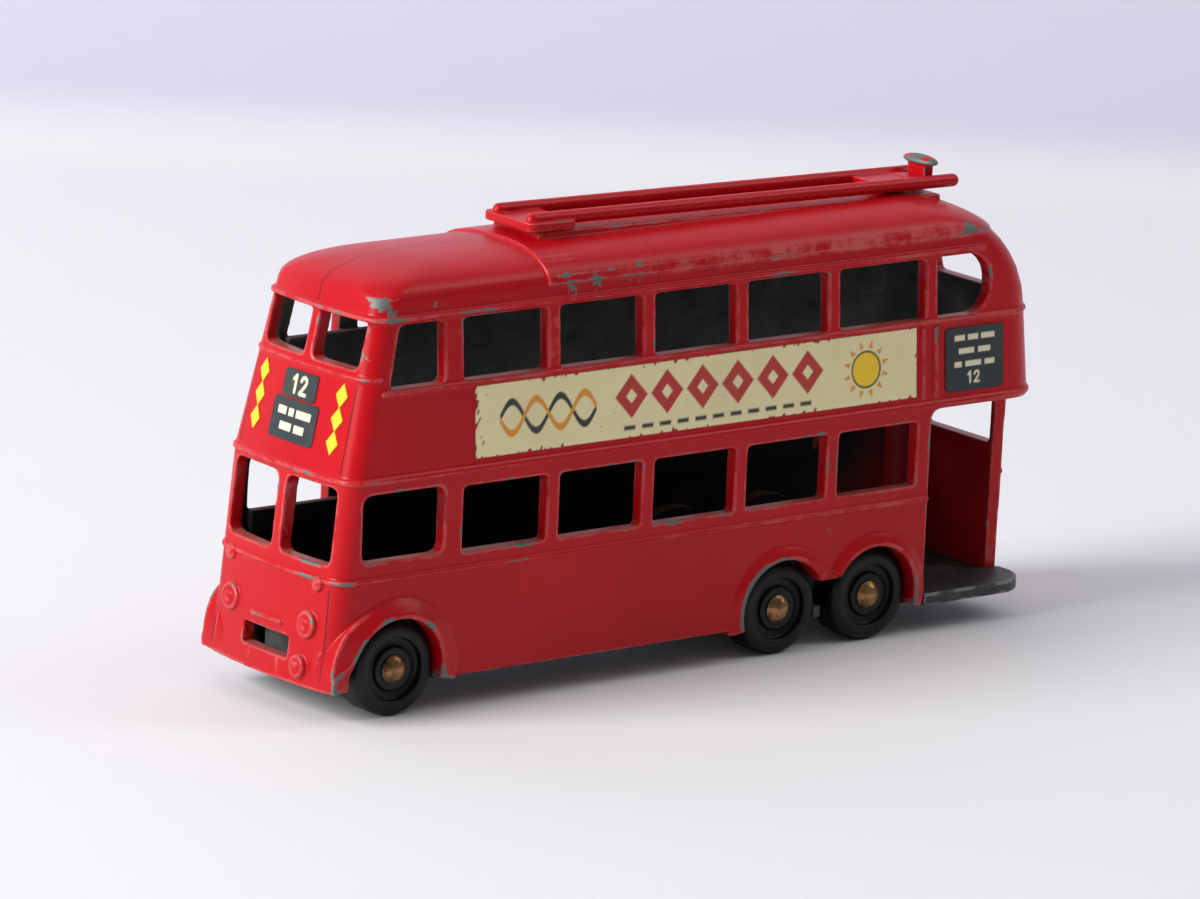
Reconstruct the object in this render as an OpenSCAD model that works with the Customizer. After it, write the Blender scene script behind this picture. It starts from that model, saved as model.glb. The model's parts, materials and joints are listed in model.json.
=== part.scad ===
// Toy double-deck trolleybus: a hollow metal body casting on a black base, six free-rolling wheels.
// +X is forward, +Y is the platform side, +Z is up, and the wheels stand on Z = 0.

/* [Body casting] */
// Length over the body casting
body_len = 66.6; // [62:0.2:74]
// Width over the lower sides
body_w = 15.2; // [14.4:0.2:18]
// Thickness of the casting's walls
wall = 1.1; // [0.9:0.05:1.3]
// Height of the skirt's lower edge above the ground
skirt_z = 2.5; // [2.2:0.1:3]
// Height from the skirt's edge to the band between the decks
lower_deck_h = 15.2; // [14.6:0.1:17]
// Height from the band to the gutter
upper_deck_h = 11.5; // [11:0.1:14]
// Height of the upright strip between the gutter and the roof's curve
roof_edge_h = 0.9; // [0.5:0.1:1.5]
// Rise of the roof's curve
roof_rise = 2.4; // [2:0.1:3.2]
// Lean of each upper side, measured at the gutter
side_lean = 0.85; // [0.4:0.05:1.3]
// Setback of the front at the band
front_band_set = 1.5; // [0.8:0.1:2.2]
// Setback of the front at the gutter
front_top_set = 4; // [3:0.1:5]
// Forward bulge of the front in plan
front_bulge = 0.55; // [0.2:0.05:0.9]
// Radius of the front corners in plan
front_corner_r = 1.7; // [1.4:0.1:2.4]
// Radius of the rear corners in plan
rear_corner_r = 3; // [2:0.1:4]
// How far the roof's curve runs back from the front
roof_front_run = 7; // [4:0.5:10]
// How far the curve of the rear runs forward to the roof's top
roof_rear_run = 9.5; // [5:0.5:12]
// Height that the beads and the rear roof stand proud
bead_h = 0.22; // [0.12:0.02:0.3]
// Width of the beads
bead_w = 0.42; // [0.3:0.02:0.6]

/* [Windows] */
// Distance from one side window to the next
window_pitch = 8.7; // [8.4:0.05:9]
// Length of a side window
window_l = 7.6; // [7:0.05:7.8]
// Height of a lower side window
lower_window_h = 4.9; // [4.4:0.1:5.2]
// Height of an upper side window
upper_window_h = 4.6; // [4.2:0.1:4.8]
// Length of the front lower side window
first_lower_l = 7; // [6:0.1:7.2]
// Length of the front upper side window
first_upper_l = 4.3; // [3.4:0.1:4.4]
// Length of the rear upper side window, which has a round end
last_upper_l = 5.2; // [4.6:0.1:5.6]
// Width of the pillar behind the front side windows
front_pillar_w = 1.6; // [1.3:0.1:2]
// Corner radius of the windows
window_r = 0.35; // [0.2:0.05:0.6]
// Width of one upper front window
front_upper_w = 5.2; // [4.6:0.1:5.4]
// Height of one upper front window
front_upper_h = 3.9; // [3.4:0.1:4.2]
// Width of one lower front window
front_lower_w = 5.6; // [5:0.1:5.8]
// Height of one lower front window
front_lower_h = 5.6; // [5:0.1:5.9]
// Width of the post between the front windows
front_post_w = 0.95; // [0.7:0.05:1.3]
// Width of the rear windows
rear_window_w = 6; // [5:0.1:6.2]
// Height of the lower rear window
rear_lower_h = 3.7; // [3:0.1:4]
// Height of the upper rear window
rear_upper_h = 2.8; // [2.2:0.1:3]

/* [Platform] */
// Length of the open platform from the rear end
platform_l = 10.9; // [9:0.1:12]
// Width of the gap between the rear wall's end and the side
platform_gap = 4.1; // [3.5:0.1:5]
// Radius of the doorway's top corner
doorway_r = 1; // [0.5:0.1:1.5]

/* [Wheels and axles] */
// Diameter of a wheel
wheel_d = 7; // [6.4:0.1:7.2]
// Width of a wheel
wheel_w = 3; // [2.4:0.1:3.2]
// How far a wheel's face lies inside the body's side
wheel_inset = 0.35; // [0.2:0.05:0.8]
// Distance of the front axle from the front end
front_axle_back = 6.7; // [6.4:0.1:8]
// Distance of the rear axle from the rear end
rear_axle_in = 15.8; // [15:0.1:18]
// Distance between the middle and rear axles
rear_axle_gap = 8.7; // [8.5:0.05:9]
// Diameter of an axle
axle_d = 1.4; // [1.1:0.1:1.6]
// Diameter of an axle's domed head
head_d = 2.15; // [1.9:0.05:2.6]
// Height of an axle's domed head
head_h = 0.55; // [0.4:0.05:0.8]
// Clearance all round between an axle and what it turns in
running_clear = 0.04; // [0.03:0.01:0.08]
// Clearance between a wheel and its arch
arch_clear = 0.5; // [0.45:0.05:0.8]
// How far the front mudguards stand out
mudguard_out = 0.85; // [0.5:0.05:1.2]
// How far the rear arch lips stand out
lip_out = 0.35; // [0.2:0.05:0.6]

/* [Base] */
// Thickness of the base
base_t = 0.9; // [0.7:0.05:1.2]
// How far the base hangs below the skirt
base_drop = 0.4; // [0.2:0.05:0.6]
// Clearance between the base and the body's walls
base_clear = 0.15; // [0.1:0.01:0.25]
// Diameter of the spigots that hold the base
spigot_d = 1.6; // [1.2:0.1:2]
// Diameter of a spigot's spread end
spigot_head_d = 2.5; // [2.2:0.1:3]

/* [Booms] */
// Diameter of a boom
boom_d = 1; // [0.8:0.05:1.2]
// Distance from the booms' rear ends to the rear end
boom_rear_in = 5.3; // [4:0.1:8]
// Distance between the booms' middles
boom_gap = 4; // [3.4:0.1:4.6]
// How far the booms fall over their length
boom_fall = 0.75; // [0.5:0.05:0.8]
// Distance from the front end to the front of the boom plate
boom_plate_back = 20.7; // [19:0.1:23]
// Length of the boom plate
boom_plate_l = 4.3; // [3.4:0.1:5.5]
// Width of the boom plate
boom_plate_w = 6; // [5.4:0.1:6.6]
// Thickness of the boom plate
boom_plate_t = 0.65; // [0.5:0.05:0.9]
// Height of the roof plinth's front end above the roof's top
plinth_h = 0.8; // [0.6:0.05:1.1]
// Width of the hook bar over the post
hook_w = 3.5; // [3.1:0.1:4.2]
// Height of the post above the booms' middles
post_h = 1.25; // [1:0.05:1.8]

/* [Transfers] */
// Thickness of a transfer
transfer_t = 0.06; // [0.04:0.01:0.1]
// Gap between the side panel transfer and the blind behind it
panel_blind_gap = 2.8; // [2:0.1:5]
// Length of the blind at the rear of the side
side_blind_l = 5.7; // [4.8:0.1:6]
// Width of the front route blind
route_blind_w = 4; // [3.4:0.1:4.4]
// Width of the front destination blind
place_blind_w = 5.3; // [4.6:0.1:5.6]
// Width of a front ornament
ornament_w = 1.2; // [0.9:0.1:1.5]

/* [Hidden] */
$fn = 48;

// Clean cuts run past the faces that they cut by this much
overrun = 1.5;
half_w = body_w / 2;
front_x = body_len / 2;
rear_x = -body_len / 2;
band_z = skirt_z + lower_deck_h;
gutter_z = band_z + upper_deck_h;
crease_z = gutter_z + roof_edge_h;
roof_z = crease_z + roof_rise;
lean_angle = atan(side_lean / upper_deck_h);
front_top_lean = atan((front_top_set - front_band_set) / upper_deck_h);
lower_front_lean = atan(front_band_set / lower_deck_h);

// Half-width of the body where the roof's curve starts, and the radius of that curve
crease_half_w = half_w - side_lean * (upper_deck_h + roof_edge_h) / upper_deck_h;
roof_r = (pow(crease_half_w, 2) + pow(roof_rise, 2)) / (2 * roof_rise);
roof_turn = asin(crease_half_w / roof_r);
roof_centre_z = roof_z - roof_r;

// Steps in the roof's curves seen from the side, in half of the nose and in a corner in plan
roof_steps = 6;
nose_steps = 5;
corner_steps = 5;
// Half-width that the leaning sides would have at the roof's top
top_half_w = half_w - side_lean * (roof_z - band_z) / upper_deck_h;
// The rear's curve starts at this share of the upper deck's height, set in by this much
rear_spring_share = 0.55;
rear_spring_set = 0.6;
rear_spring_z = band_z + rear_spring_share * upper_deck_h;
// Setback of the rear at the skirt
rear_foot_set = 0.28;
// The ends' plans and the roof's front edge stand clear of the faces that trim them by this much
ease = 0.03;

axle_z = wheel_d / 2;
front_axle_x = front_x - front_axle_back;
rear_axle_x = rear_x + rear_axle_in;
middle_axle_x = rear_axle_x + rear_axle_gap;
wheel_y = half_w - wheel_inset - wheel_w;
arch_r = wheel_d / 2 + arch_clear;
front_arch_shift = arch_clear / 2;

// Side windows: strips of metal over them, heights of their sills and the front edge of the second one
lower_head_gap = 1.2;
upper_head_gap = 0.45;
second_window_back = 12;
lower_sill_z = band_z - lower_head_gap - lower_window_h;
upper_sill_z = gutter_z - upper_head_gap - upper_window_h;
second_window_x = front_x - second_window_back;
round_end_share = 0.45;
// Front windows: strips of metal round them and heights of their sills
front_upper_head_rise = 0.15;
front_lower_head_gap = 0.6;
front_upper_sill_z = gutter_z + front_upper_head_rise - front_upper_h;
front_lower_sill_z = band_z - front_lower_head_gap - front_lower_h;
// Rear windows: strips of metal round them and heights of their sills
rear_upper_head_gap = 1.3;
rear_cut_share = 0.36;
rear_lower_head_gap = 1.3;
rear_upper_sill_z = gutter_z - rear_upper_head_gap - rear_upper_h;
rear_lower_sill_z = band_z - rear_lower_head_gap - rear_lower_h;
waist_drop = 1.1;
waist_z = lower_sill_z - waist_drop;
// The slot low in the front, through which the base's tongue shows
slot_w = 5.5;
slot_h = 1.6;
slot_rise = 1.65;
slot_z = skirt_z + slot_rise;

base_z = skirt_z - base_drop;
base_top = base_z + base_t;
doorway_x = rear_x + platform_l;
doorway_y = half_w - platform_gap;
// As many whole windows as fit between the second window's front edge and the doorway
side_window_count = floor((second_window_x - doorway_x) / window_pitch);
front_spigot_back = 4.1;
rear_spigot_in = 3.2;
rear_spigot_across = 1.6;
front_spigot_x = front_x - front_spigot_back;
rear_spigot_x = rear_x + rear_spigot_in;
rear_spigot_y = -rear_spigot_across;
spigot_clear = 0.05;
spigot_head_h = 0.35;
bearing_gap = 0.35;
bearing_l = 2 * (wheel_y - bearing_gap);
bearing_wall = 0.6;
tongue_w = 4.2;
tongue_t = 0.9;
tongue_h = 2.4;

// The booms' plate overhangs the front of the plinth, and the plinth ends short of the booms
plate_overhang = 0.8;
plinth_short = 1.6;
plinth_edge = 0.25;
plinth_front_x = front_x - boom_plate_back - plate_overhang;
boom_l = plinth_front_x - boom_rear_in - rear_x;
plinth_l = boom_l - plinth_short;
plinth_w = boom_plate_w - 2 * plinth_edge;
boom_seat_z = roof_z + plinth_h;
boom_slope = atan(boom_fall / boom_l);
boom_seat_share = 0.1;
boom_rise = boom_plate_t + boom_d * boom_seat_share;
plate_x = plate_overhang - boom_plate_l;
stud_d = 1.5;
stud_end = 0.5;
stud_share = 0.6;
stud_x = plate_x + boom_plate_l * stud_share;
stud_reach = plinth_h + wall + stud_end;
post_w = 1.9;
post_t = 1.2;
post_in = 2.3;
hook_t = 0.5;
web_l = 4.5;

// Shapes in the plane

module rounded_square(size, r) {
    translate([r, 0]) square([size.x - 2 * r, size.y]);
    translate([0, r]) square([size.x, size.y - 2 * r]);
    for (x = [r, size.x - r], y = [r, size.y - r]) translate([x, y]) circle(r);
}

// Runs a plane shape drawn in X and Z through Y, centred on the middle plane
module through_y(depth) {
    translate([0, depth / 2, 0]) rotate([90, 0, 0]) linear_extrude(depth) children();
}

// Runs a plane shape drawn in Y and Z forward along X from a place
module along_x(from, depth) {
    translate([from, 0, 0]) rotate([90, 0, 90]) linear_extrude(depth) children();
}

// The body's form: what its cross-section, its side view and its rounded ends have in common

function deck_front(z) = z <= band_z
    ? front_x - front_band_set * (z - skirt_z) / lower_deck_h
    : front_x - front_band_set - (front_top_set - front_band_set) * (z - band_z) / upper_deck_h;

// The body's cross-section: upright lower sides, leaning upper sides and the roof's curve
module section(inset, foot) {
    half = half_w - inset;
    top_half = top_half_w - inset;
    intersection() {
        polygon([[half, foot], [half, band_z], [top_half, roof_z], [-top_half, roof_z], [-half, band_z], [-half, foot]]);
        union() {
            translate([0, roof_z - roof_r]) circle(roof_r - inset, $fn = 180);
            translate([-body_w, foot - overrun]) square([2 * body_w, gutter_z - foot + overrun]);
        }
    }
}

// The body from the side: open ahead of the front, with the curves of the roof and the rear
module side_view(inset, foot) {
    roof_front = deck_front(crease_z) + ease - inset;
    rear_run = roof_rear_run - inset;
    rear_rise = roof_z - rear_spring_z - inset;
    rear_middle = rear_x + rear_spring_set + roof_rear_run;
    turns = [for (i = [0:roof_steps]) 90 * i / roof_steps];
    polygon(concat(
        [[front_x + overrun, foot - overrun], [front_x + overrun, crease_z - inset]],
        [for (t = turns) [roof_front - roof_front_run * (1 - cos(t)), crease_z + roof_rise * sin(t) - inset]],
        [for (t = turns) [rear_middle - rear_run * sin(t), rear_spring_z + rear_rise * cos(t)]],
        [[rear_x + inset, band_z], [rear_x + rear_foot_set + inset, skirt_z], [rear_x + rear_foot_set + inset, foot - overrun]]));
}

// Plan of the front end, with its nose at the origin
module front_plan(inset, half) {
    r = front_corner_r - inset;
    flat = half - r;
    bulge_r = (pow(flat, 2) + pow(front_bulge, 2)) / (2 * front_bulge);
    turn = asin(flat / (bulge_r - r));
    corner = [(bulge_r - r) * cos(turn) - bulge_r, flat];
    nose = arc_points([-bulge_r, 0], bulge_r, 0, turn, nose_steps);
    both_sides(concat(nose, arc_points(corner, r, turn, 90, corner_steps), [[-2 * body_len, half]]));
}

module rear_plan(inset, half) {
    r = rear_corner_r - inset;
    end = rear_x + inset - ease;
    both_sides(concat([[end, 0]], arc_points([end + r, half - r], r, 180, 90, corner_steps), [[2 * body_len, half]]));
}

// A polygon from the points of its left half, with their mirror image on the right
module both_sides(left) {
    polygon(concat(left, [for (i = [len(left) - 1:-1:0]) [left[i].x, -left[i].y]]));
}

function arc_points(middle, r, from, to, steps) = [for (i = [0:steps])
    let(turn = from + (to - from) * i / steps)
    [middle.x + r * cos(turn), middle.y + r * sin(turn)]];

// The front end's plan run up along the slope of the front
module raked_front(inset, z, lean, half) {
    translate([deck_front(z) - inset, 0, z]) rotate([0, -lean, 0])
        translate([0, 0, -body_len]) linear_extrude(2 * body_len) front_plan(inset, half);
}

module body_form(inset, foot) {
    half = half_w - inset;
    intersection() {
        along_x(-body_len, 2 * body_len) section(inset, foot);
        through_y(2 * body_w) side_view(inset, foot);
        translate([0, 0, -body_len]) linear_extrude(2 * body_len) rear_plan(inset, half + ease);
        raked_front(inset, skirt_z, lower_front_lean, half + 2 * ease);
        raked_front(inset, band_z, front_top_lean, half + 3 * ease);
    }
}

// Openings in the body

module side_windows() {
    depth = body_w + 2 * overrun;
    for (i = [0:side_window_count - 1]) {
        x = second_window_x - i * window_pitch - window_l;
        through_y(depth) translate([x, lower_sill_z]) rounded_square([window_l, lower_window_h], window_r);
        through_y(depth) translate([x, upper_sill_z]) rounded_square([window_l, upper_window_h], window_r);
    }
    first_x = second_window_x + front_pillar_w;
    through_y(depth) translate([first_x, lower_sill_z]) rounded_square([first_lower_l, lower_window_h], 2 * window_r);
    through_y(depth) translate([first_x, upper_sill_z]) first_upper_window();
    last_x = second_window_x - side_window_count * window_pitch;
    through_y(depth) translate([last_x - last_upper_l, upper_sill_z]) round_ended_window();
}

// The front upper side window, whose front edge follows the sloping front
module first_upper_window() {
    slope = upper_window_h * tan(front_top_lean);
    polygon([[0, 0], [first_upper_l, 0], [first_upper_l - slope, upper_window_h], [0, upper_window_h]]);
}

// The rear upper side window, whose rear end is round
module round_ended_window() {
    r = upper_window_h * round_end_share;
    for (y = [r, upper_window_h - r]) translate([r, y]) circle(r);
    translate([0, r]) square([last_upper_l - window_r, upper_window_h - 2 * r]);
    translate([r, 0]) square([last_upper_l - r - window_r, upper_window_h]);
    translate([r, window_r]) square([last_upper_l - r, upper_window_h - 2 * window_r]);
    for (y = [window_r, upper_window_h - window_r]) translate([last_upper_l - window_r, y]) circle(window_r);
}

module front_windows() {
    for (side = [-1, 1]) {
        upper_y = side * (front_post_w + front_upper_w) / 2 - front_upper_w / 2;
        lower_y = side * (front_post_w + front_lower_w) / 2 - front_lower_w / 2;
        along_x(deck_front(roof_z) - 2 * wall, roof_z) translate([upper_y, front_upper_sill_z])
            rounded_square([front_upper_w, front_upper_h], window_r);
        along_x(deck_front(band_z) - front_bulge - 2 * wall, roof_z) translate([lower_y, front_lower_sill_z])
            rounded_square([front_lower_w, front_lower_h], 2 * window_r);
    }
}

module rear_windows() {
    reach = roof_rear_run * rear_cut_share;
    along_x(rear_x - overrun, reach + overrun) translate([-rear_window_w / 2, rear_upper_sill_z])
        rounded_square([rear_window_w, rear_upper_h], window_r);
    along_x(rear_x - overrun, reach + overrun) translate([-rear_window_w / 2, rear_lower_sill_z])
        rounded_square([rear_window_w, rear_lower_h], window_r);
}

module front_slot() {
    along_x(front_x - 3 * wall, 3 * wall + overrun) translate([-slot_w / 2, slot_z]) square([slot_w, slot_h]);
}

// The open doorway over the platform: no side and no rear corner below the upper deck
module doorway() {
    top = band_z - bead_w;
    translate([0, half_w + overrun, 0]) rotate([90, 0, 0]) linear_extrude(platform_gap + overrun) difference() {
        translate([rear_x - overrun, 0]) square([platform_l + overrun, top]);
        translate([doorway_x - doorway_r, top - doorway_r]) difference() {
            square(2 * doorway_r);
            circle(doorway_r);
        }
    }
}

// Height of the open strip between the rear arches, as a share of their radius
bridge_share = 0.5;

module arch_holes() {
    bridge_z = axle_z + arch_r * bridge_share;
    through_y(body_w + 2 * mudguard_out + 2 * overrun) {
        translate([front_axle_x + front_arch_shift, axle_z]) circle(arch_r);
        translate([front_axle_x + front_arch_shift - arch_r, 0]) square([2 * arch_r, axle_z]);
        for (x = [middle_axle_x, rear_axle_x]) translate([x, axle_z]) circle(arch_r);
        translate([rear_axle_x - arch_r, 0]) square([rear_axle_gap + 2 * arch_r, axle_z]);
        translate([rear_axle_x, 0]) square([rear_axle_gap, bridge_z]);
    }
}

// Raised parts of the body

// A flared ring round a wheel arch, standing out from the side
module arch_lip(x, width, out) {
    root = wall / 2;
    translate([x, half_w - root, axle_z]) rotate([-90, 0, 0]) rotate_extrude()
        polygon([[arch_r - overrun / 2, 0], [arch_r - overrun / 2, root + out], [arch_r + width / 3, root + out],
                 [arch_r + width, root - lip_sink], [arch_r + width, 0]]);
}

mudguard_w = 1.8;
lip_w = 1.2;
lip_sink = 0.1;

module arch_lips() {
    intersection() {
        for (side = [0, 1]) mirror([0, side, 0]) {
            arch_lip(front_axle_x + front_arch_shift, mudguard_w, mudguard_out);
            for (x = [middle_axle_x, rear_axle_x]) arch_lip(x, lip_w, lip_out);
        }
        translate([rear_x, -body_w, skirt_z + lip_sink]) cube([body_len, 2 * body_w, lower_deck_h]);
    }
}

// Beads round the body, and the raised rear roof, cut from a form that is larger all round
roof_step_back = 19.6;
side_bead_front_x = deck_front(gutter_z) - front_bulge - front_corner_r;

module beads() {
    intersection() {
        body_form(-bead_h, skirt_z);
        union() {
            for (z = [band_z, waist_z]) bead_slab(front_x + overrun, z - bead_w / 2, bead_w);
            for (z = [gutter_z, upper_sill_z - bead_w / 2]) bead_slab(side_bead_front_x, z - bead_w / 2, bead_w);
            bead_slab(front_x - roof_step_back, crease_z, roof_z);
        }
    }
}

// A slab across the body, from behind it forward to a place
module bead_slab(to, z, height) {
    from = rear_x - overrun;
    translate([from, -body_w, z]) cube([to - from, 2 * body_w, height]);
}

// The long plinth on the roof that carries the booms
module roof_plinth() {
    fall = plinth_l * tan(boom_slope);
    intersection() {
        through_y(plinth_w) polygon([
            [plinth_front_x, roof_z - 2 * roof_rise], [plinth_front_x, boom_seat_z],
            [plinth_front_x - plinth_l, boom_seat_z - fall],
            [plinth_front_x - plinth_l - wall, boom_seat_z - fall - roof_rise],
            [plinth_front_x - plinth_l - wall, roof_z - 2 * roof_rise]]);
        translate([rear_x, -body_w, roof_z - 3 * wall / 2]) cube([body_len, 2 * body_w, 2 * roof_rise]);
    }
}

headlamp_d = 2;
small_lamp_d = 1.1;
fog_lamp_d = 1.7;
lamp_out = 0.3;
headlamp_share = 0.61;
headlamp_rise = 4.6;
small_lamp_share = 0.7;
small_lamp_drop = 0.5;
fog_lamp_share = 0.55;
fog_lamp_rise = 1.35;
slot_bar_share = 0.7;

// A round lamp on the front at a place across and a height
module lamp(y, z, d) {
    flat = half_w - front_corner_r;
    face = deck_front(z) - front_bulge * pow(y / flat, 2);
    translate([face, y, z]) rotate([0, 90 - lower_front_lean, 0])
        translate([0, 0, -wall / 2]) cylinder(d = d, h = wall / 2 + lamp_out);
}

module lamps() {
    for (side = [-1, 1]) {
        lamp(side * half_w * headlamp_share, skirt_z + headlamp_rise, headlamp_d);
        lamp(side * half_w * small_lamp_share, waist_z - small_lamp_drop, small_lamp_d);
    }
    lamp(half_w * fog_lamp_share, skirt_z + fog_lamp_rise, fog_lamp_d);
    bar_l = slot_w * slot_bar_share;
    translate([front_x - wall, -bar_l / 2, slot_z + slot_h + wall / 3]) cube([wall + lamp_out / 4, bar_l, wall / 3]);
}

// Bosses inside the body, with the spigots that pass through the base and are spread in its sunk holes
module base_boss(x, y, reach) {
    boss_h = slot_z + slot_h - base_top + 2 * wall;
    spigot_z = base_z + spigot_clear;
    translate([x, y, base_top]) cylinder(d = spigot_head_d, h = boss_h);
    translate([x, y, spigot_z]) cylinder(d = spigot_d, h = boss_h);
    translate([x, y, spigot_z]) cylinder(d = spigot_head_d, h = spigot_head_h);
    translate([min(x, x + reach), y - wall / 2, base_top + boss_h - 7 * wall / 4])
        cube([abs(reach), wall, 3 * wall / 2]);
}

module base_bosses() {
    base_boss(front_spigot_x, 0, front_x - front_spigot_x - wall);
    base_boss(rear_spigot_x, rear_spigot_y, rear_x - rear_spigot_x + wall);
}

module body_shell() {
    color([0.7, 0.07, 0.1]) {
        difference() {
            union() {
                body_form(0, skirt_z);
                beads();
                arch_lips();
                roof_plinth();
                lamps();
            }
            body_form(wall, skirt_z - overrun);
            side_windows();
            front_windows();
            rear_windows();
            front_slot();
            doorway();
            arch_holes();
            boom_stud_hole();
        }
        base_bosses();
    }
}

// The base, with its platform, axle bearings and front tongue

module base_outline() {
    inner_w = half_w - wall - base_clear;
    front_end = front_x - wall - front_bulge - base_clear;
    rear_end = rear_x + rear_foot_set + wall + base_clear;
    difference() {
        union() {
            translate([rear_end, -inner_w]) rounded_square([front_end - rear_end, 2 * inner_w], front_corner_r);
            platform_outline();
        }
        for (x = [front_axle_x, middle_axle_x, rear_axle_x], side = [0, 1]) mirror([0, side])
            translate([x - arch_r, wheel_y - arch_clear / 2]) square([2 * arch_r, wheel_w + arch_clear + overrun]);
    }
}

module platform_outline() {
    left = doorway_y + base_clear;
    translate([rear_x, left]) rounded_square_corner([platform_l - base_clear, half_w - left], rear_corner_r);
}

// A rectangle whose rear outer corner is round
module rounded_square_corner(size, r) {
    limit = min(r, size.y - base_clear);
    translate([limit, 0]) square([size.x - limit, size.y]);
    square([size.x, size.y - limit]);
    translate([limit, size.y - limit]) circle(limit);
}

module base_plate() {
    color([0.09, 0.11, 0.11]) difference() {
        union() {
            translate([0, 0, base_z]) linear_extrude(base_t) base_outline();
            for (x = [front_axle_x, middle_axle_x, rear_axle_x]) bearing(x);
            translate([front_spigot_x + spigot_head_d / 2 + base_clear, -tongue_w / 2, base_z])
                cube([tongue_t, tongue_w, base_t + tongue_h]);
        }
        for (x = [front_axle_x, middle_axle_x, rear_axle_x]) translate([x, 0, axle_z]) rotate([90, 0, 0])
            cylinder(d = axle_d + 2 * running_clear, h = body_w, center = true);
        spigot_hole(front_spigot_x, 0);
        spigot_hole(rear_spigot_x, rear_spigot_y);
    }
}

// A hole in the base for a spigot, sunk from below for its spread end
module spigot_hole(x, y) {
    sunk = overrun + spigot_clear + spigot_head_h;
    translate([x, y, base_z - overrun]) cylinder(d = spigot_d + 2 * spigot_clear, h = base_t + 2 * overrun);
    translate([x, y, base_z - overrun]) cylinder(d = spigot_head_d + 2 * spigot_clear, h = sunk);
}

module bearing(x) {
    r = axle_d / 2 + running_clear + bearing_wall;
    translate([x, 0, axle_z]) rotate([90, 0, 0]) cylinder(r = r, h = bearing_l, center = true);
    translate([x - r, -bearing_l / 2, base_z]) cube([2 * r, bearing_l, axle_z - base_z]);
}

// The booms: one casting that stands on the roof's plinth

// Puts a shape into the booms' own slope, with its origin at the front of the plate's underside
module on_boom_seat() {
    translate([plinth_front_x, 0, boom_seat_z]) rotate([0, -boom_slope, 0]) children();
}

module trolley_booms() {
    color([0.6, 0.06, 0.09]) on_boom_seat() {
        translate([plate_x, -boom_plate_w / 2, 0]) linear_extrude(boom_plate_t)
            rounded_square([boom_plate_l, boom_plate_w], boom_plate_t);
        for (side = [-1, 1]) boom(side * boom_gap / 2);
        rear_web();
        translate([stud_x, 0, -stud_reach]) cylinder(d = stud_d, h = stud_reach + boom_plate_t / 2);
    }
}

module boom(y) {
    translate([0, y, boom_rise]) rotate([0, -90, 0]) cylinder(d = boom_d, h = boom_l);
    for (x = [0, -boom_l]) translate([x, y, boom_rise]) sphere(d = boom_d);
    translate([plate_x, y - boom_d / 2, boom_plate_t / 2])
        cube([boom_plate_l - plate_overhang, boom_d, boom_rise - boom_plate_t / 2]);
}

module boom_stud_hole() {
    on_boom_seat() translate([stud_x, 0, -stud_reach - overrun])
        cylinder(d = stud_d + 2 * spigot_clear, h = stud_reach + 2 * overrun);
}

// The web that joins the booms at the rear, with the post and its hook bar
module rear_web() {
    x = post_in - boom_l;
    low = boom_rise - boom_d / 2;
    translate([x, -boom_gap / 2, low]) cube([web_l, boom_gap, boom_plate_t]);
    translate([x, -post_w / 2, low]) cube([post_t, post_w, boom_d / 2 + post_h]);
    translate([x + post_t / 2, 0, boom_rise + post_h]) rotate([90, 0, 0])
        cylinder(d = 2 * hook_t, h = hook_w, center = true);
}

// Wheels and axles

hub_inset = 0.25;
hub_step = 0.35;
hub_ring = 0.55;
recess_share = 0.67;
face_share = 0.86;
hub_face = wheel_w - hub_inset;

module wheel(x, side) {
    r = wheel_d / 2;
    bore = axle_d / 2 + running_clear;
    hub_r = head_d / 2 + hub_ring;
    recess_r = r * recess_share;
    recess_face = hub_face - hub_step;
    face_r = r * face_share;
    round_l = r - face_r;
    color([0.08, 0.09, 0.1]) mirror([0, side < 0 ? 1 : 0, 0]) translate([x, wheel_y, axle_z]) rotate([-90, 0, 0])
        rotate_extrude() polygon([
            [bore, 0], [r - round_l / 2, 0], [r, round_l / 2], [r, wheel_w - round_l], [face_r, wheel_w],
            [recess_r, wheel_w], [recess_r, recess_face], [hub_r, recess_face], [hub_r, hub_face], [bore, hub_face]]);
}

axle_play = 0.08;

module axle(x) {
    reach = wheel_y + hub_face + axle_play;
    head_r = (pow(head_d / 2, 2) + pow(head_h, 2)) / (2 * head_h);
    color([0.55, 0.4, 0.22]) translate([x, 0, axle_z]) rotate([90, 0, 0]) {
        cylinder(d = axle_d, h = 2 * reach, center = true);
        for (side = [0, 1]) mirror([0, 0, side]) translate([0, 0, reach]) intersection() {
            translate([0, 0, head_h - head_r]) sphere(head_r);
            cylinder(d = 2 * head_r, h = head_h);
        }
    }
}

// Transfers: thin printed sheets that lie on the body's faces

// Places a sheet on the left upper side, with X along the body and Z up the leaning face from the band
module on_upper_side(side) {
    mirror([0, side < 0 ? 1 : 0, 0]) translate([0, half_w, band_z]) rotate([lean_angle, 0, 0]) children();
}

// Places a sheet on the upper front, with Y across and Z up the leaning face from the band
module on_upper_front() {
    translate([front_x - front_band_set, 0, band_z]) rotate([0, -front_top_lean, 0]) children();
}

panel_back = 0.9;
panel_foot_gap = 0.3;
panel_head_gap = 0.03;
blind_head_gap = 0.45;
blind_back = 1.2;
panel_front_x = second_window_x - panel_back;
panel_low = bead_w + panel_foot_gap;
blind_front_x = doorway_x - blind_back;
side_panel_l = panel_front_x - blind_front_x - panel_blind_gap;
// Room up the leaning side between the band and the bead under the upper windows
side_room = (upper_sill_z - bead_w - band_z) / cos(lean_angle);
side_panel_h = side_room - panel_head_gap - panel_low;
side_blind_h = side_room - blind_head_gap - panel_low;
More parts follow.
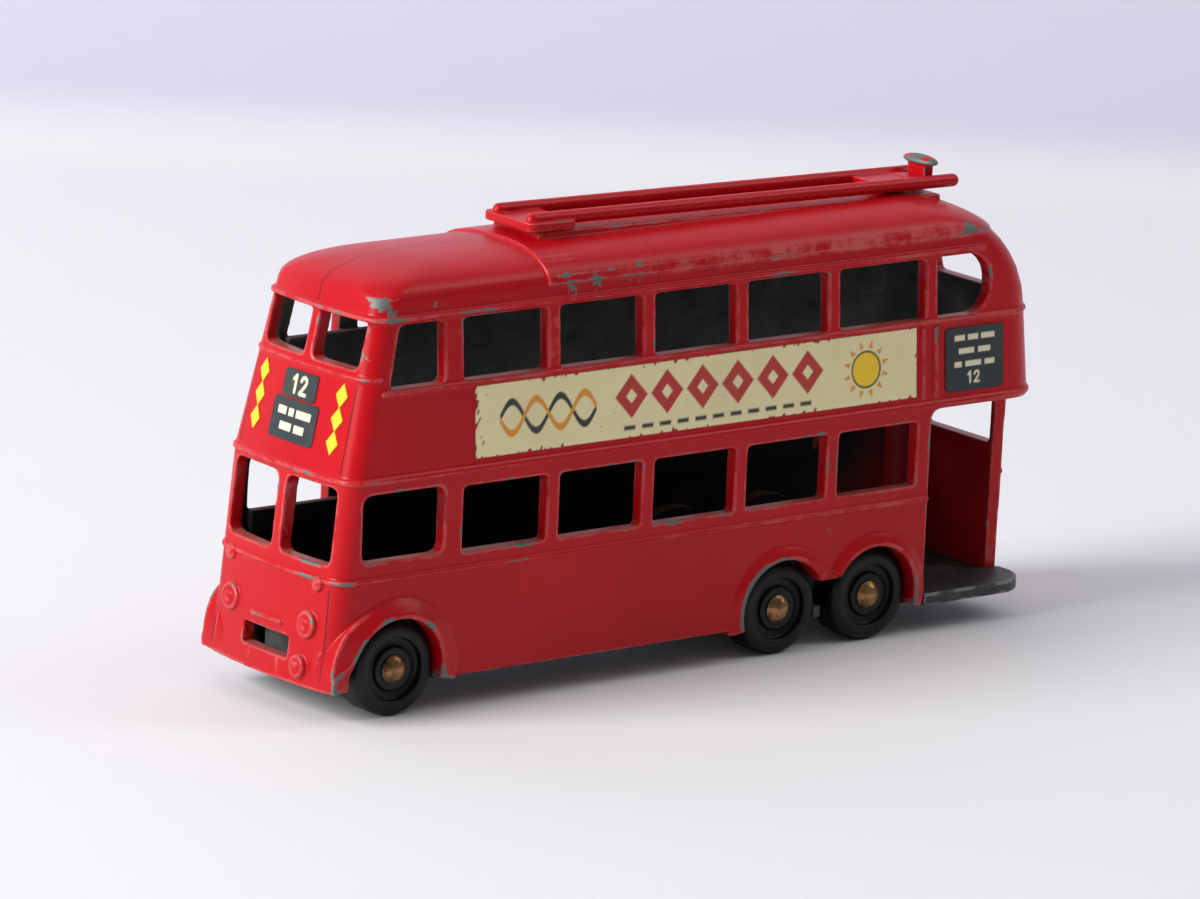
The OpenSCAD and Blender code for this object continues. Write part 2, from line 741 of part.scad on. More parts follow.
// Room up the leaning front between the band and the front windows
front_room = (front_upper_sill_z - band_z) / cos(front_top_lean);
blind_gap = 0.1;
place_low = 1.7;
route_head_gap = 1.1;
ornament_head_gap = 1;
route_share = 0.4;
blind_room = front_room - route_head_gap - blind_gap - place_low;
route_blind_h = blind_room * route_share;
place_blind_h = blind_room - route_blind_h;
route_low = place_low + place_blind_h + blind_gap;
ornament_h = front_room - ornament_head_gap - place_low;

module panel_transfer(side) {
    color([0.84, 0.8, 0.62]) on_upper_side(side)
        translate([panel_front_x - side_panel_l, 0, panel_low]) cube([side_panel_l, transfer_t, side_panel_h]);
}

module blind_transfer(side) {
    color([0.13, 0.19, 0.21]) on_upper_side(side)
        translate([blind_front_x - side_blind_l, 0, panel_low]) cube([side_blind_l, transfer_t, side_blind_h]);
}

module front_blind(width, height, low) {
    color([0.13, 0.19, 0.21]) on_upper_front()
        translate([0, -width / 2, low]) cube([transfer_t, width, height]);
}

module front_ornament(side) {
    y = side * (half_w - front_corner_r - ornament_w);
    flat = half_w - front_corner_r;
    sag = front_bulge * pow((abs(y) - ornament_w / 2) / flat, 2);
    color([0.95, 0.8, 0.1]) on_upper_front() translate([ease - sag, y - ornament_w / 2, place_low])
        cube([transfer_t, ornament_w, ornament_h]);
}

body_shell();
base_plate();
trolley_booms();
axle(front_axle_x);  // front_axle
axle(middle_axle_x);  // middle_axle
axle(rear_axle_x);  // rear_axle
wheel(front_axle_x, 1);  // front_left_wheel
wheel(front_axle_x, -1);  // front_right_wheel
wheel(middle_axle_x, 1);  // middle_left_wheel
wheel(middle_axle_x, -1);  // middle_right_wheel
wheel(rear_axle_x, 1);  // rear_left_wheel
wheel(rear_axle_x, -1);  // rear_right_wheel
panel_transfer(1);  // left_panel_transfer
panel_transfer(-1);  // right_panel_transfer
blind_transfer(1);  // left_blind_transfer
blind_transfer(-1);  // right_blind_transfer
front_blind(route_blind_w, route_blind_h, route_low);  // front_route_transfer
front_blind(place_blind_w, place_blind_h, place_low);  // front_place_transfer
front_ornament(1);  // front_left_ornament
front_ornament(-1);  // front_right_ornament
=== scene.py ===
import bpy
import json
import numpy as np
from math import atan, copysign, cos, exp, pi, radians, sin, sqrt
from mathutils import Matrix, Vector

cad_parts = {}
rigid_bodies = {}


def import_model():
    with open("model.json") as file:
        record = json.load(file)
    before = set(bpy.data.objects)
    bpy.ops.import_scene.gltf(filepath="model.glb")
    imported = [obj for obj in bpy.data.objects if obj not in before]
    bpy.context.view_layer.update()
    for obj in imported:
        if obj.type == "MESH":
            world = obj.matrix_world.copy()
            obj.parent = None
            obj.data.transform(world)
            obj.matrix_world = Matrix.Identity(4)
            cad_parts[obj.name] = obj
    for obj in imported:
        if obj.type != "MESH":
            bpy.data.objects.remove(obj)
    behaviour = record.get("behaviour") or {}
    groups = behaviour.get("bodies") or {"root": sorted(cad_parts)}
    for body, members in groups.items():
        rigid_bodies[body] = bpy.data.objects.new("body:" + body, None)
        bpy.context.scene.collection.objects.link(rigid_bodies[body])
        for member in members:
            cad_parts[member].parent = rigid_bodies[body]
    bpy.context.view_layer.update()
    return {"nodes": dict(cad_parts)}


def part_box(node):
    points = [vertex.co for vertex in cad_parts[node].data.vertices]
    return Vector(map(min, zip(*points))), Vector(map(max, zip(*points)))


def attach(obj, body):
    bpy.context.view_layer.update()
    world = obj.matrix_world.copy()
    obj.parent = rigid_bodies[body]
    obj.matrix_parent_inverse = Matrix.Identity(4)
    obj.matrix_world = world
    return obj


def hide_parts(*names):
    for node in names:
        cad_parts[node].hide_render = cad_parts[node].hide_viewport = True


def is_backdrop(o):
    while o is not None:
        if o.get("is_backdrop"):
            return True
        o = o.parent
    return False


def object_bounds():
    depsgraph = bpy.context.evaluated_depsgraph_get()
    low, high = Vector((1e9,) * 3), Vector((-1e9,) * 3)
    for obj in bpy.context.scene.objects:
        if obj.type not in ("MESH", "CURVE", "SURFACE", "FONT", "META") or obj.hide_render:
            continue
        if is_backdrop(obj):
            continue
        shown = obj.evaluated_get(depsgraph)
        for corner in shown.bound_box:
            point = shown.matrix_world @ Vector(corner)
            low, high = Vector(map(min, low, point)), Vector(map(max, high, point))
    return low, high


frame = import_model()
nodes = frame["nodes"]
mm = 0.001  # lengths are in mm unless a note says otherwise
scene = bpy.context.scene
scene.view_settings.view_transform = "Standard"
weld = dict(ring=0.002, solid=0.001)  # points nearer than this become one


# Helpers for picking, adding, rounding and cutting
def deselectAll():
    bpy.ops.object.select_all(action="DESELECT")


def pick(obj):
    deselectAll()
    obj.select_set(True)
    bpy.context.view_layer.objects.active = obj


def newest(name):
    obj = bpy.context.active_object
    obj.name = name
    obj.data.name = name
    return obj


def applyModifier(obj, kind, **settings):
    pick(obj)
    modifier = obj.modifiers.new(kind.lower(), kind)
    for key, value in settings.items():
        setattr(modifier, key, value)
    bpy.ops.object.modifier_apply(modifier=modifier.name)
    return obj


def settle(obj):
    pick(obj)
    bpy.ops.object.transform_apply(location=True, rotation=True, scale=True)


def roundEdges(obj, edge, steps=3):
    return applyModifier(obj, "BEVEL", width=edge * mm, segments=steps, limit_method="NONE")


# A block from its spans along x, y and z
def block(name, x, y, z, edge=0.0, steps=3):
    deselectAll()
    low, high = (Vector(corner) * mm for corner in zip(x, y, z))
    bpy.ops.mesh.primitive_cube_add(size=1, location=(low + high) / 2)
    obj = newest(name)
    obj.scale = high - low
    settle(obj)
    if edge:
        roundEdges(obj, edge, steps)
    return obj


def rod(name, start, end, radius, edge=0.0, sides=40):
    deselectAll()
    start, end = Vector(start) * mm, Vector(end) * mm
    bpy.ops.mesh.primitive_cylinder_add(vertices=sides, radius=radius * mm, depth=(end - start).length,
                                        location=(start + end) / 2)
    obj = newest(name)
    obj.rotation_mode = "QUATERNION"
    obj.rotation_quaternion = (end - start).to_track_quat("Z", "Y")
    settle(obj)
    if edge:
        applyModifier(obj, "BEVEL", width=edge * mm, segments=3, limit_method="ANGLE",
                      angle_limit=radians(50))
    return obj


def mergeMesh(gap, fill=False):
    bpy.ops.object.mode_set(mode="EDIT")
    bpy.ops.mesh.select_all(action="SELECT")
    bpy.ops.mesh.remove_doubles(threshold=gap * mm)
    if fill:
        bpy.ops.mesh.fill_holes(sides=0)
    bpy.ops.mesh.select_all(action="SELECT")
    bpy.ops.mesh.normals_make_consistent(inside=False)
    bpy.ops.object.mode_set(mode="OBJECT")


# A grid wrapped round a stack of rings; rings holds levels, places and coordinates
def wrapRings(name, rings, closedStack=False):
    rings = np.asarray(rings, float)
    if closedStack:
        rings = np.concatenate([rings, rings[:1]])
    levels, places = rings.shape[:2]
    deselectAll()
    bpy.ops.mesh.primitive_grid_add(x_subdivisions=places, y_subdivisions=levels - 1, size=1)
    obj = newest(name)
    wrapped = np.concatenate([rings, rings[:, :1]], axis=1) * mm
    obj.data.vertices.foreach_set("co", wrapped.astype(np.float32).ravel())
    obj.data.update()
    mergeMesh(weld["ring"], fill=not closedStack)
    return obj


def joinAll(target, others):
    deselectAll()
    for obj in others:
        obj.select_set(True)
    target.select_set(True)
    bpy.context.view_layer.objects.active = target
    bpy.ops.object.join()


def cutAway(obj, cutters):
    basket = bpy.data.collections.new("cutters")
    for cutter in cutters:
        basket.objects.link(cutter)
    applyModifier(obj, "BOOLEAN", operand_type="COLLECTION", collection=basket, operation="DIFFERENCE",
                  solver="EXACT")
    for cutter in cutters:
        bpy.data.objects.remove(cutter)
    bpy.data.collections.remove(basket)
    return obj


# One skin over all that was joined, softened as paint softens a casting. Thinned at full size, since
# decimate loses its way on a mesh of a few cm
def softSkin(obj, voxel, smooth, triangles=None):
    obj.data.remesh_voxel_size = voxel * mm
    pick(obj)
    bpy.ops.object.voxel_remesh()
    applyModifier(obj, "SMOOTH", factor=0.5, iterations=smooth)
    if triangles:
        applyModifier(obj, "TRIANGULATE")
        obj.data.transform(Matrix.Scale(1 / mm, 4))
        applyModifier(obj, "DECIMATE", ratio=min(1.0, triangles / len(obj.data.polygons)))
        obj.data.transform(Matrix.Scale(mm, 4))
    pick(obj)
    bpy.ops.object.shade_smooth()
    print(obj.name, "faces", len(obj.data.polygons))


def finishPiece(obj, body, node):
    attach(obj, body)
    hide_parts(node)


# Body casting: outline of the body at each height
bodyShape = dict(
    frontX=33.3, rearX=-33.3, halfW=7.6, wall=1.1, skirt=2.5, band=17.7, gutter=29.2, crease=30.1, top=32.62,
    levels=(6, 10.5, 17.7, 19.5, 21.5, 24, 25.5, 27, 28.2, 29.2), sideLean=0.85, frontBandSet=1.5, frontTopSet=4.0,
    bulge=0.55, frontRun=8.0, frontCorner=1.55, frontRounder=2.6, rearCorner=3.0, rearRounder=1.6, roundest=0.97,
    rearFootSet=0.28, rearTopSet=0.35, rearSpring=24.0, rearRun=11.15, rearMiddle=-21.8, roofPower=2.35,
    roofLevels=14, roofEase=0.9, creaseInset=0.6, least=0.03)
ringPoints = dict(front=15, side=26, rear=9, corner=11)


def deckFront(z):
    s = bodyShape
    if z <= s["band"]:
        return s["frontX"] - s["frontBandSet"] * (z - s["skirt"]) / (s["band"] - s["skirt"])
    lean = (s["frontTopSet"] - s["frontBandSet"]) / (s["gutter"] - s["band"])
    return s["frontX"] - s["frontBandSet"] - lean * (z - s["band"])


def deckHalf(z):
    s = bodyShape
    return s["halfW"] - max(0.0, z - s["band"]) * s["sideLean"] / (s["gutter"] - s["band"])


def deckRear(z):
    s = bodyShape
    if z <= s["band"]:
        return s["rearX"] + s["rearFootSet"] * (s["band"] - z) / (s["band"] - s["skirt"])
    if z <= s["rearSpring"]:
        return s["rearX"] + s["rearTopSet"] * (z - s["band"]) / (s["rearSpring"] - s["band"])
    share = min(1.0, (z - s["rearSpring"]) / (s["top"] + 0.02 - s["rearSpring"]))
    return s["rearMiddle"] - s["rearRun"] * sqrt(1 - share * share)


deckFronts, deckHalves, deckRears = (np.vectorize(f, otypes=[float]) for f in (deckFront, deckHalf, deckRear))


def quarter(x, y, radius, start):
    turns = np.radians(np.linspace(start, start + 90, ringPoints["corner"]))
    return [(x + radius * cos(a), y + radius * sin(a)) for a in turns]


def between(start, end, count):
    return np.linspace(start, end, count)[1:-1]


# One ring of the form, from the front round by the left side; roofTurn goes from 0 at the crease to 90 degrees
def outlineRing(z, roofTurn=0.0, inset=0.0):
    s, count = bodyShape, ringPoints
    c = max(cos(roofTurn), 0.0) ** (2 / s["roofPower"])
    up = sin(roofTurn)
    half = deckHalf(min(z, s["crease"])) * c - inset * (1 if roofTurn == 0 else c)
    front = deckFront(min(z, s["crease"])) - s["frontRun"] * (1 - c) - inset
    rear = deckRear(z) + inset
    half = max(half, 0.05)
    frontR, rearR = (max(min(s[end + "Corner"] + s[end + "Rounder"] * up - inset, half * s["roundest"]), s["least"])
                     for end in ("front", "rear"))
    flat = half - frontR
    sag = s["bulge"] * (flat / max(half, 0.1)) ** 2
    startX, endX = front - sag - frontR, rear + rearR
    points = [(front - s["bulge"] * (y / max(half, 0.1)) ** 2, y) for y in between(-flat, flat, count["front"])]
    points += quarter(startX, flat, frontR, 0)
    points += [(x, half) for x in between(startX, endX, count["side"])]
    points += quarter(endX, half - rearR, rearR, 90)
    points += [(rear, y) for y in between(half - rearR, rearR - half, count["rear"])]
    points += quarter(endX, rearR - half, rearR, 180)
    points += [(x, -half) for x in between(endX, startX, count["side"])]
    points += quarter(startX, -flat, frontR, -90)
    return [(x, y, z) for x, y in points]


def bodyForm(name, inset, foot):
    s = bodyShape
    heights = [foot, *s["levels"], s["crease"] - inset * s["creaseInset"]]
    rings = [outlineRing(z, 0.0, inset) for z in heights]
    rise = s["top"] - s["crease"]
    for i in range(1, s["roofLevels"] + 1):
        turn = radians(89.0) * (i / s["roofLevels"]) ** s["roofEase"]
        up = sin(turn) ** (2 / s["roofPower"])
        z = s["crease"] + rise * up - inset * (s["creaseInset"] + 0.4 * up)
        ring = outlineRing(s["crease"] + rise * up, turn, inset)
        rings.append([(x, y, z) for x, y, _ in ring])
    return wrapRings(name, rings)


print("body: form and openings")
bodyShell = bodyForm("busBody", 0.0, bodyShape["skirt"])
cutAway(bodyShell, [bodyForm("cavity", bodyShape["wall"], bodyShape["skirt"] - 1.0)])

windows = dict(
    pitch=8.7, length=7.6, secondX=21.3, count=5, lastLonger=0.7, corner=0.35, across=(-10, 10), lower=(11.6, 16.5),
    upper=(24.15, 28.75), firstLower=(22.95, 30.2), firstLowerZ=(11.75, 16.75), firstLowerRound=0.75,
    firstUpper=(22.95, 27.9), firstSlant=0.95, firstUpperRound=0.5, lastUpper=(-28.1, -22.9), lastRound=2.15)
endWindows = dict(
    frontUpper=((25.2, 40), (0.47, 5.65), (25.45, 29.35), 0.6),
    frontLower=((29.0, 40), (0.5, 6.2), (11.5, 17.15), 0.7),
    rearUpper=((-40, -29.6), (-4.1, 4.1), (24.85, 28.0), 0.45),
    rearLower=((-40, -31), (-5.1, 3.05), (12.7, 16.4), 0.4))
slot = dict(x=(30.5, 40), y=(-2.75, 2.75), z=(4.15, 5.75), edge=0.08, steps=2)
across = windows["across"]
cutters = []
for i in range(windows["count"]):
    x = windows["secondX"] - i * windows["pitch"]
    longer = windows["lastLonger"] if i == windows["count"] - 1 else 0.0
    for deck in ("lower", "upper"):
        rearX = x - windows["length"] - (longer if deck == "upper" else 0)
        cutters.append(block("sideCut", (rearX, x), across, windows[deck], windows["corner"]))
cutters.append(block("firstLowerCut", windows["firstLower"], across, windows["firstLowerZ"],
                     windows["firstLowerRound"], 5))

lastWindow = block("lastUpperCut", windows["lastUpper"], across, windows["upper"])
bpy.ops.object.mode_set(mode="EDIT")
bpy.ops.mesh.select_all(action="DESELECT")
bpy.ops.object.mode_set(mode="OBJECT")
for edge in lastWindow.data.edges:  # the two rear edges get the large round
    ends = [lastWindow.data.vertices[v].co for v in edge.vertices]
    atRear = all(p.x < sum(windows["lastUpper"]) / 2 * mm for p in ends)
    edge.select = atRear and abs(ends[0].y - ends[1].y) > 1 * mm
bpy.ops.object.mode_set(mode="EDIT")
bpy.ops.mesh.bevel(offset=windows["lastRound"] * mm, segments=10, affect="EDGES")
bpy.ops.object.mode_set(mode="OBJECT")
cutters.append(lastWindow)

firstUpper = block("firstUpperCut", windows["firstUpper"], across, windows["upper"])
for v in firstUpper.data.vertices:  # its front edge leans with the front
    if v.co.x > sum(windows["firstUpper"]) / 2 * mm and v.co.z > sum(windows["upper"]) / 2 * mm:
        v.co.x -= windows["firstSlant"] * mm
cutters.append(roundEdges(firstUpper, windows["firstUpperRound"], 4))

for side in (-1, 1):
    for key in ("frontUpper", "frontLower"):
        x, y, z, edge = endWindows[key]
        cutters.append(block(key + "Cut", x, sorted(side * reach for reach in y), z, edge, 4))
for key in ("rearUpper", "rearLower"):
    cutters.append(block(key + "Cut", *endWindows[key], 4))
cutters.append(block("slotCut", **slot))
cutAway(bodyShell, cutters)

arches = dict(
    front=(26.95, 4.05), middle=(-8.8, 3.9), rear=(-17.5, 3.9), axleZ=3.5, across=(-15, 15),
    feet=((22.9, 31.0), (-21.4, -4.9)), bridgeTop=5.3)
doorway = dict(x=(-45, -22.4), y=(3.5, 20), z=(-5, 17.3), edge=0.9, steps=5)
cutters = [block("doorwayCut", **doorway)]
across, axleZ = arches["across"], arches["axleZ"]
for key in ("front", "middle", "rear"):
    x, radius = arches[key]
    cutters.append(rod("archCut", (x, across[0], axleZ), (x, across[1], axleZ), radius, sides=72))
for foot in arches["feet"]:
    cutters.append(block("footCut", foot, across, (0, axleZ)))
cutters.append(block("bridgeCut", (arches["rear"][0], arches["middle"][0]), across, (0, arches["bridgeTop"])))
cutAway(bodyShell, cutters)


# Body casting: what stands proud of it
def smoothStep(a, b, t):
    t = min(max((t - a) / (b - a), 0.0), 1.0)
    return t * t * (3 - 2 * t)


# A flange swept round a wheel: turn 0 is ahead of the axle and 90 above it. A station is the turn, the opening's
# radius, the lip's and the foot's radius, the lip's and the foot's reach from the middle, and how far it is a wing
def archFlange(name, x, stations, side, fatness=0.0):
    root = 5.4
    rings = []
    for turn, inner, lip, outer, lipY, footY, wing in stations:
        a = radians(turn)
        plain = 1 - wing
        fat = (1 - smoothStep(25, 85, turn)) * fatness
        middle = (lip + outer) / 2 * (1 - fat) + (outer - 0.1) * fat
        middleY = (lipY * 0.55 + footY * 0.45) * (1 - fat) + (lipY - 0.3) * fat
        section = [(inner, root), (inner, lipY - 0.12 - 0.5 * wing), (lip - 0.06, lipY - 0.04), (lip + 0.1, lipY),
                   (lip + 0.32 * plain + 0.12 * wing, lipY - 0.06), (middle + 0.1 * plain * (1 - fat), middleY),
                   (outer - 0.15 * plain, footY + 0.08), (outer + 0.1 * plain, footY - 0.12), (outer, root)]
        rings.append([(x + r * cos(a), side * y, axleZ + r * sin(a)) for r, y in section])
    return wrapRings(name, rings)


mudguard = dict(
    turns=(-9.5, 193), steps=70, opening=4.02, lip=4.12, wingLip=1.62, foot=5.55, footAhead=0.42, footBehind=0.1,
    lipY=8.35, lipYBehind=0.35, footY=7.6, footYAhead=1.4)
archLip = dict(middle=(-16, 150), rear=(30, 196), steps=48, lip=0.08, outer=1.1, lipY=7.98)


# The mudguard ends in a wing at the front, over the first few degrees
def wingShare(turn):
    return exp(-(max(turn + 4, 0) / 15) ** 2)


def mudguardLip(turn):
    return mudguard["lip"] + mudguard["wingLip"] * wingShare(turn)


proud = []
for side in (-1, 1):
    g = mudguard
    stations = []
    for turn in np.linspace(*g["turns"], g["steps"]):
        ahead = 1 - smoothStep(-10, 85, turn)
        behind = smoothStep(110, 185, turn)
        wing = wingShare(turn)
        foot = g["foot"] + g["footAhead"] * (1 - smoothStep(28, 80, turn)) + g["footBehind"] * behind
        lipY = g["lipY"] - 0.1 * wing - g["lipYBehind"] * behind
        stations.append((turn, g["opening"] + 0.05 * ahead, mudguardLip(turn), foot, lipY,
                         g["footY"] - g["footYAhead"] * ahead, wing))
    proud.append(archFlange("mudguard", arches["front"][0], stations, side, 1.0))
    for key in ("middle", "rear"):
        x, radius = arches[key]
        stations = [(turn, radius - 0.02, radius + archLip["lip"], radius + archLip["outer"], archLip["lipY"],
                     bodyShape["halfW"], 0.0) for turn in np.linspace(*archLip[key], archLip["steps"])]
        proud.append(archFlange("archLip", x, stations, side))

# Beads round the body: height, width, how far it stands out, and the block where it stops
everyY = (-20, 20)
beads = dict(
    band=(bodyShape["band"], 0.5, 0.17, None), waist=(10.45, 0.42, 0.16, (doorway["x"], doorway["y"], (5, 16))),
    gutter=(29.15, 0.45, 0.26, ((-60, -27.4), everyY, (20, 35))),
    sill=(23.92, 0.36, 0.17, ((28.6, 40), everyY, (20, 30))),
    frontHead=(24.95, 0.3, 0.14, ((-60, 28.6), everyY, (20, 30))))
for key, (z, width, out, gap) in beads.items():
    profile = [(-0.5, 0.5), (-0.5, -0.02), (-0.3, -out), (0.3, -out), (0.5, -0.02), (0.5, 0.5)]
    rings = [outlineRing(z + share * width, 0.0, inset) for share, inset in profile]
    bead = wrapRings(key + "Bead", rings, closedStack=True)
    if gap:
        cutAway(bead, [block("beadGap", *gap)])
    proud.append(bead)

# Ledges inside the far wall, one for each deck; being inside, they take the painted shade of the interior
ledges = (dict(x=(-28.2, 28.0), y=(-6.0, -5.2), z=(23.2, 25.5)),
          dict(x=(-22.2, 30.4), y=(-6.55, -5.75), z=(10.9, 12.85)))
for ledge in ledges:
    proud.append(block("innerLedge", **ledge, edge=0.15))

ribs = dict(places=(-21.45, -22.65), half=0.2, deep=0.5, out=0.17, z=(18.2, 23.6), level=20.6, pivotZ=20.9)
sideLean = atan(bodyShape["sideLean"] / (bodyShape["gutter"] - bodyShape["band"]))
for side in (-1, 1):
    for x in ribs["places"]:
        face = deckHalf(ribs["level"])
        strip = block("rib", (x - ribs["half"], x + ribs["half"]),
                      (side * face - ribs["deep"], side * face + ribs["deep"]), ribs["z"], 0.12)
        strip.data.transform(Matrix.Translation((0, -side * (ribs["deep"] - ribs["out"]) * mm, 0)))
        pivot = Vector((x, side * face, ribs["pivotZ"])) * mm
        turned = Matrix.Rotation(sideLean * side, 4, "X")
        strip.data.transform(Matrix.Translation(pivot) @ turned @ Matrix.Translation(-pivot))
        proud.append(strip)

# Lamps on the front: y, z, radius and how far they stand out
lamps = dict(head=(4.67, 7.05, 1.0, 0.34), small=(5.3, 10.15, 0.55, 0.3), fog=(4.2, 3.9, 0.85, 0.36))
lampForm = dict(sunk=0.6, edge=0.16, bossShare=0.45, bossOut=0.1, bossEdge=0.1)
frontLean = atan(bodyShape["frontBandSet"] / (bodyShape["band"] - bodyShape["skirt"]))


def lampDisc(y, z, radius, out):
    face = deckFront(z) - bodyShape["bulge"] * (y / bodyShape["halfW"]) ** 2
    way = Vector((cos(frontLean), 0, sin(frontLean)))
    start = Vector((face, y, z))
    disc = rod("lampDisc", start - way * lampForm["sunk"], start + way * out, radius, lampForm["edge"], 48)
    boss = rod("lampBoss", start, start + way * (out + lampForm["bossOut"]), radius * lampForm["bossShare"],
               lampForm["bossEdge"], 32)
    return [disc, boss]


for side in (-1, 1):
    for key in ("head", "small"):
        y, z, radius, out = lamps[key]
        proud += lampDisc(side * y, z, radius, out)
proud += lampDisc(*lamps["fog"])
slotBar = dict(x=(32.0, 33.12), y=(-1.9, 1.9), z=(6.35, 6.75), edge=0.15)
proud.append(block("slotBar", **slotBar))

# The plinth under the booms falls towards the rear, and the roof's rear part stands a little proud
plinthShape = dict(x=(-26.3, 11.7), y=(-2.8, 2.8), z=(31.0, 33.25), fall=0.7, edge=0.15)
plinth = block("plinth", plinthShape["x"], plinthShape["y"], plinthShape["z"])
for v in plinth.data.vertices:
    if v.co.z > sum(plinthShape["z"]) / 2 * mm and v.co.x < 0:
        v.co.z -= plinthShape["fall"] * mm
proud.append(roundEdges(plinth, plinthShape["edge"]))

stepShape = dict(out=0.2, foot=29.0, hollow=0.5, hollowFoot=20, x=(-60, 13.7), z=(30.3, 50))
roofStep = bodyForm("roofStep", -stepShape["out"], stepShape["foot"])
keepStep = block("keepStep", stepShape["x"], everyY, stepShape["z"])
applyModifier(roofStep, "BOOLEAN", object=keepStep, operation="INTERSECT", solver="EXACT")
bpy.data.objects.remove(keepStep)
proud.append(cutAway(roofStep, [bodyForm("stepHollow", stepShape["hollow"], stepShape["hollowFoot"])]))

print("body: fuse and soften")
joinAll(bodyShell, proud)
softSkin(bodyShell, voxel=0.13, smooth=3, triangles=188000)


# Values kept at each point for the paint
def readPoints(obj):
    co = np.empty(len(obj.data.vertices) * 3, np.float32)
    obj.data.vertices.foreach_get("co", co)
    return co.reshape(-1, 3)


def keepValue(obj, name, value):
    attribute = obj.data.attributes.new(name, "FLOAT", "POINT")
    attribute.data.foreach_set("value", value.astype(np.float32))


# How far each point stands out of its surroundings
def edgeAttribute(obj, rounds=2, gain=1.0):
    mesh = obj.data
    n = len(mesh.vertices)
    co = readPoints(obj)
    normal = np.empty(n * 3, np.float32)
    mesh.vertex_normals.foreach_get("vector", normal)
    normal = normal.reshape(-1, 3)
    pairs = np.empty(len(mesh.edges) * 2, np.int32)
    mesh.edges.foreach_get("vertices", pairs)
    a, b = pairs.reshape(-1, 2).T
    span = co[b] - co[a]
    length = np.maximum(np.linalg.norm(span, axis=1), 1e-9)
    bend = ((normal[b] - normal[a]) * span).sum(1) / length / length * mm
    uses = np.maximum(np.bincount(a, minlength=n) + np.bincount(b, minlength=n), 1)
    value = (np.bincount(a, bend, n) + np.bincount(b, bend, n)) / uses
    for _ in range(rounds):
        value = 0.5 * value + 0.5 * (np.bincount(a, value[b], n) + np.bincount(b, value[a], n)) / uses
    keepValue(obj, "edge", value * gain)


# Places where the paint is knocked off: x, y, z, reach, strength
def chipAttribute(obj, places):
    co = readPoints(obj) / mm
    value = np.zeros(len(co))
    for x, y, z, reach, strength in places:
        away = np.linalg.norm(co - np.array((x, y, z)), axis=1)
        value = np.maximum(value, strength * np.clip(1.4 - away / reach, 0, 1))
    keepValue(obj, "chip", value)


# How far a point of the body lies inside, where it is dark with painted shade; less so round the platform
darkInside = dict(depth=0.75, fade=0.35, roofFront=29.1, platformX=-22.5, platformZ=17.2, platformLess=0.45)


def insideAttribute(obj):
    s, d = bodyShape, darkInside
    x, y, z = (readPoints(obj) / mm).T
    low = np.minimum(z, s["crease"])
    run, power = s["frontRun"], s["roofPower"]
    span = np.maximum(np.abs(y) / deckHalf(s["gutter"]), np.maximum((x - d["roofFront"] + run) / run, 0.0))
    roofTop = s["crease"] + (s["top"] - s["crease"]) * np.maximum(1 - span ** power, 0.0) ** (1 / power)
    depth = np.minimum.reduce([deckHalves(low) - np.abs(y),
                               deckFronts(low) - s["bulge"] * (y / s["halfW"]) ** 2 - x,
                               x - deckRears(np.clip(z, s["skirt"], s["top"])), roofTop - z])
    inside = np.clip((depth - d["depth"]) / d["fade"], 0, 1)
    keepValue(obj, "inside", inside * (1 - d["platformLess"] * ((x < d["platformX"]) & (z < d["platformZ"]))))


# Chips round two arches: turns, radius where it isn't the mudguard's, y, reach, strength
rimChips = dict(
    middle=(range(-6, 66, 6), 4.02, 7.95, 0.42, 0.75),
    front=((-8, -4, 4, 22, 30, 38, 70, 76, 128), None, 8.3, 0.32, 0.7))
bodyChips = []
for key, (rimTurns, rim, y, reach, strength) in rimChips.items():
    for turn in rimTurns:
        radius, a = rim or mudguardLip(turn), radians(turn)
        bodyChips.append((arches[key][0] + radius * cos(a), y, axleZ + radius * sin(a), reach, strength))
edgeAttribute(bodyShell)
insideAttribute(bodyShell)
chipAttribute(bodyShell, bodyChips)
finishPiece(bodyShell, "chassis", "body_shell")


# Materials: short ways to add nodes
def setInputs(tree, made, inputs):
    for key, value in inputs.items():
        if hasattr(value, "is_output"):
            tree.links.new(value, made.inputs[key])
        else:
            made.inputs[key].default_value = value


def addNode(tree, kind, inputs=None, **settings):
    made = tree.nodes.new("ShaderNode" + kind)
    for key, value in settings.items():
        setattr(made, key, value)
    setInputs(tree, made, inputs or {})
    return made


def math2(tree, operation, a, b=0.0):
    return addNode(tree, "Math", {0: a, 1: b}, operation=operation).outputs[0]


def times(tree, *values):
    total = values[0]
    for value in values[1:]:
        total = math2(tree, "MULTIPLY", total, value)
    return total


def plus(tree, a, b):
    return math2(tree, "ADD", a, b)


def ramp(tree, value, low, high):
    return addNode(tree, "MapRange", {"Value": value, "From Min": low, "From Max": high},
                   interpolation_type="SMOOTHSTEP").outputs["Result"]


def mixed(tree, factor, a, b):
    made = addNode(tree, "Mix", data_type="RGBA")
    setInputs(tree, made, {0: factor, 6: a, 7: b})
    return made.outputs[2]


def noise(tree, vector, scale, detail=3.0, rough=0.55, out="Fac"):
    return addNode(tree, "TexNoise", {"Vector": vector, "Scale": scale, "Detail": detail,
                                                "Roughness": rough}).outputs[out]


# Blotches of noise: scale, detail and roughness, then where they begin and are full
def blotches(tree, place, scale, detail, rough, low, high):
    return ramp(tree, noise(tree, place, scale, detail, rough), low, high)


# Roughness that wanders: least, spread and the noise's scale
def sheen(tree, place, least, spread, scale):
    return plus(tree, least, times(tree, noise(tree, place, scale), spread))


def axes(tree, vector):
    return addNode(tree, "SeparateXYZ", {0: vector}).outputs


def pointValue(tree, name):
    return addNode(tree, "Attribute", attribute_name=name).outputs["Fac"]


def bumpNormal(tree, height, strength, distance):
    return addNode(tree, "Bump", {"Height": height, "Strength": strength,
                                            "Distance": distance * mm}).outputs["Normal"]


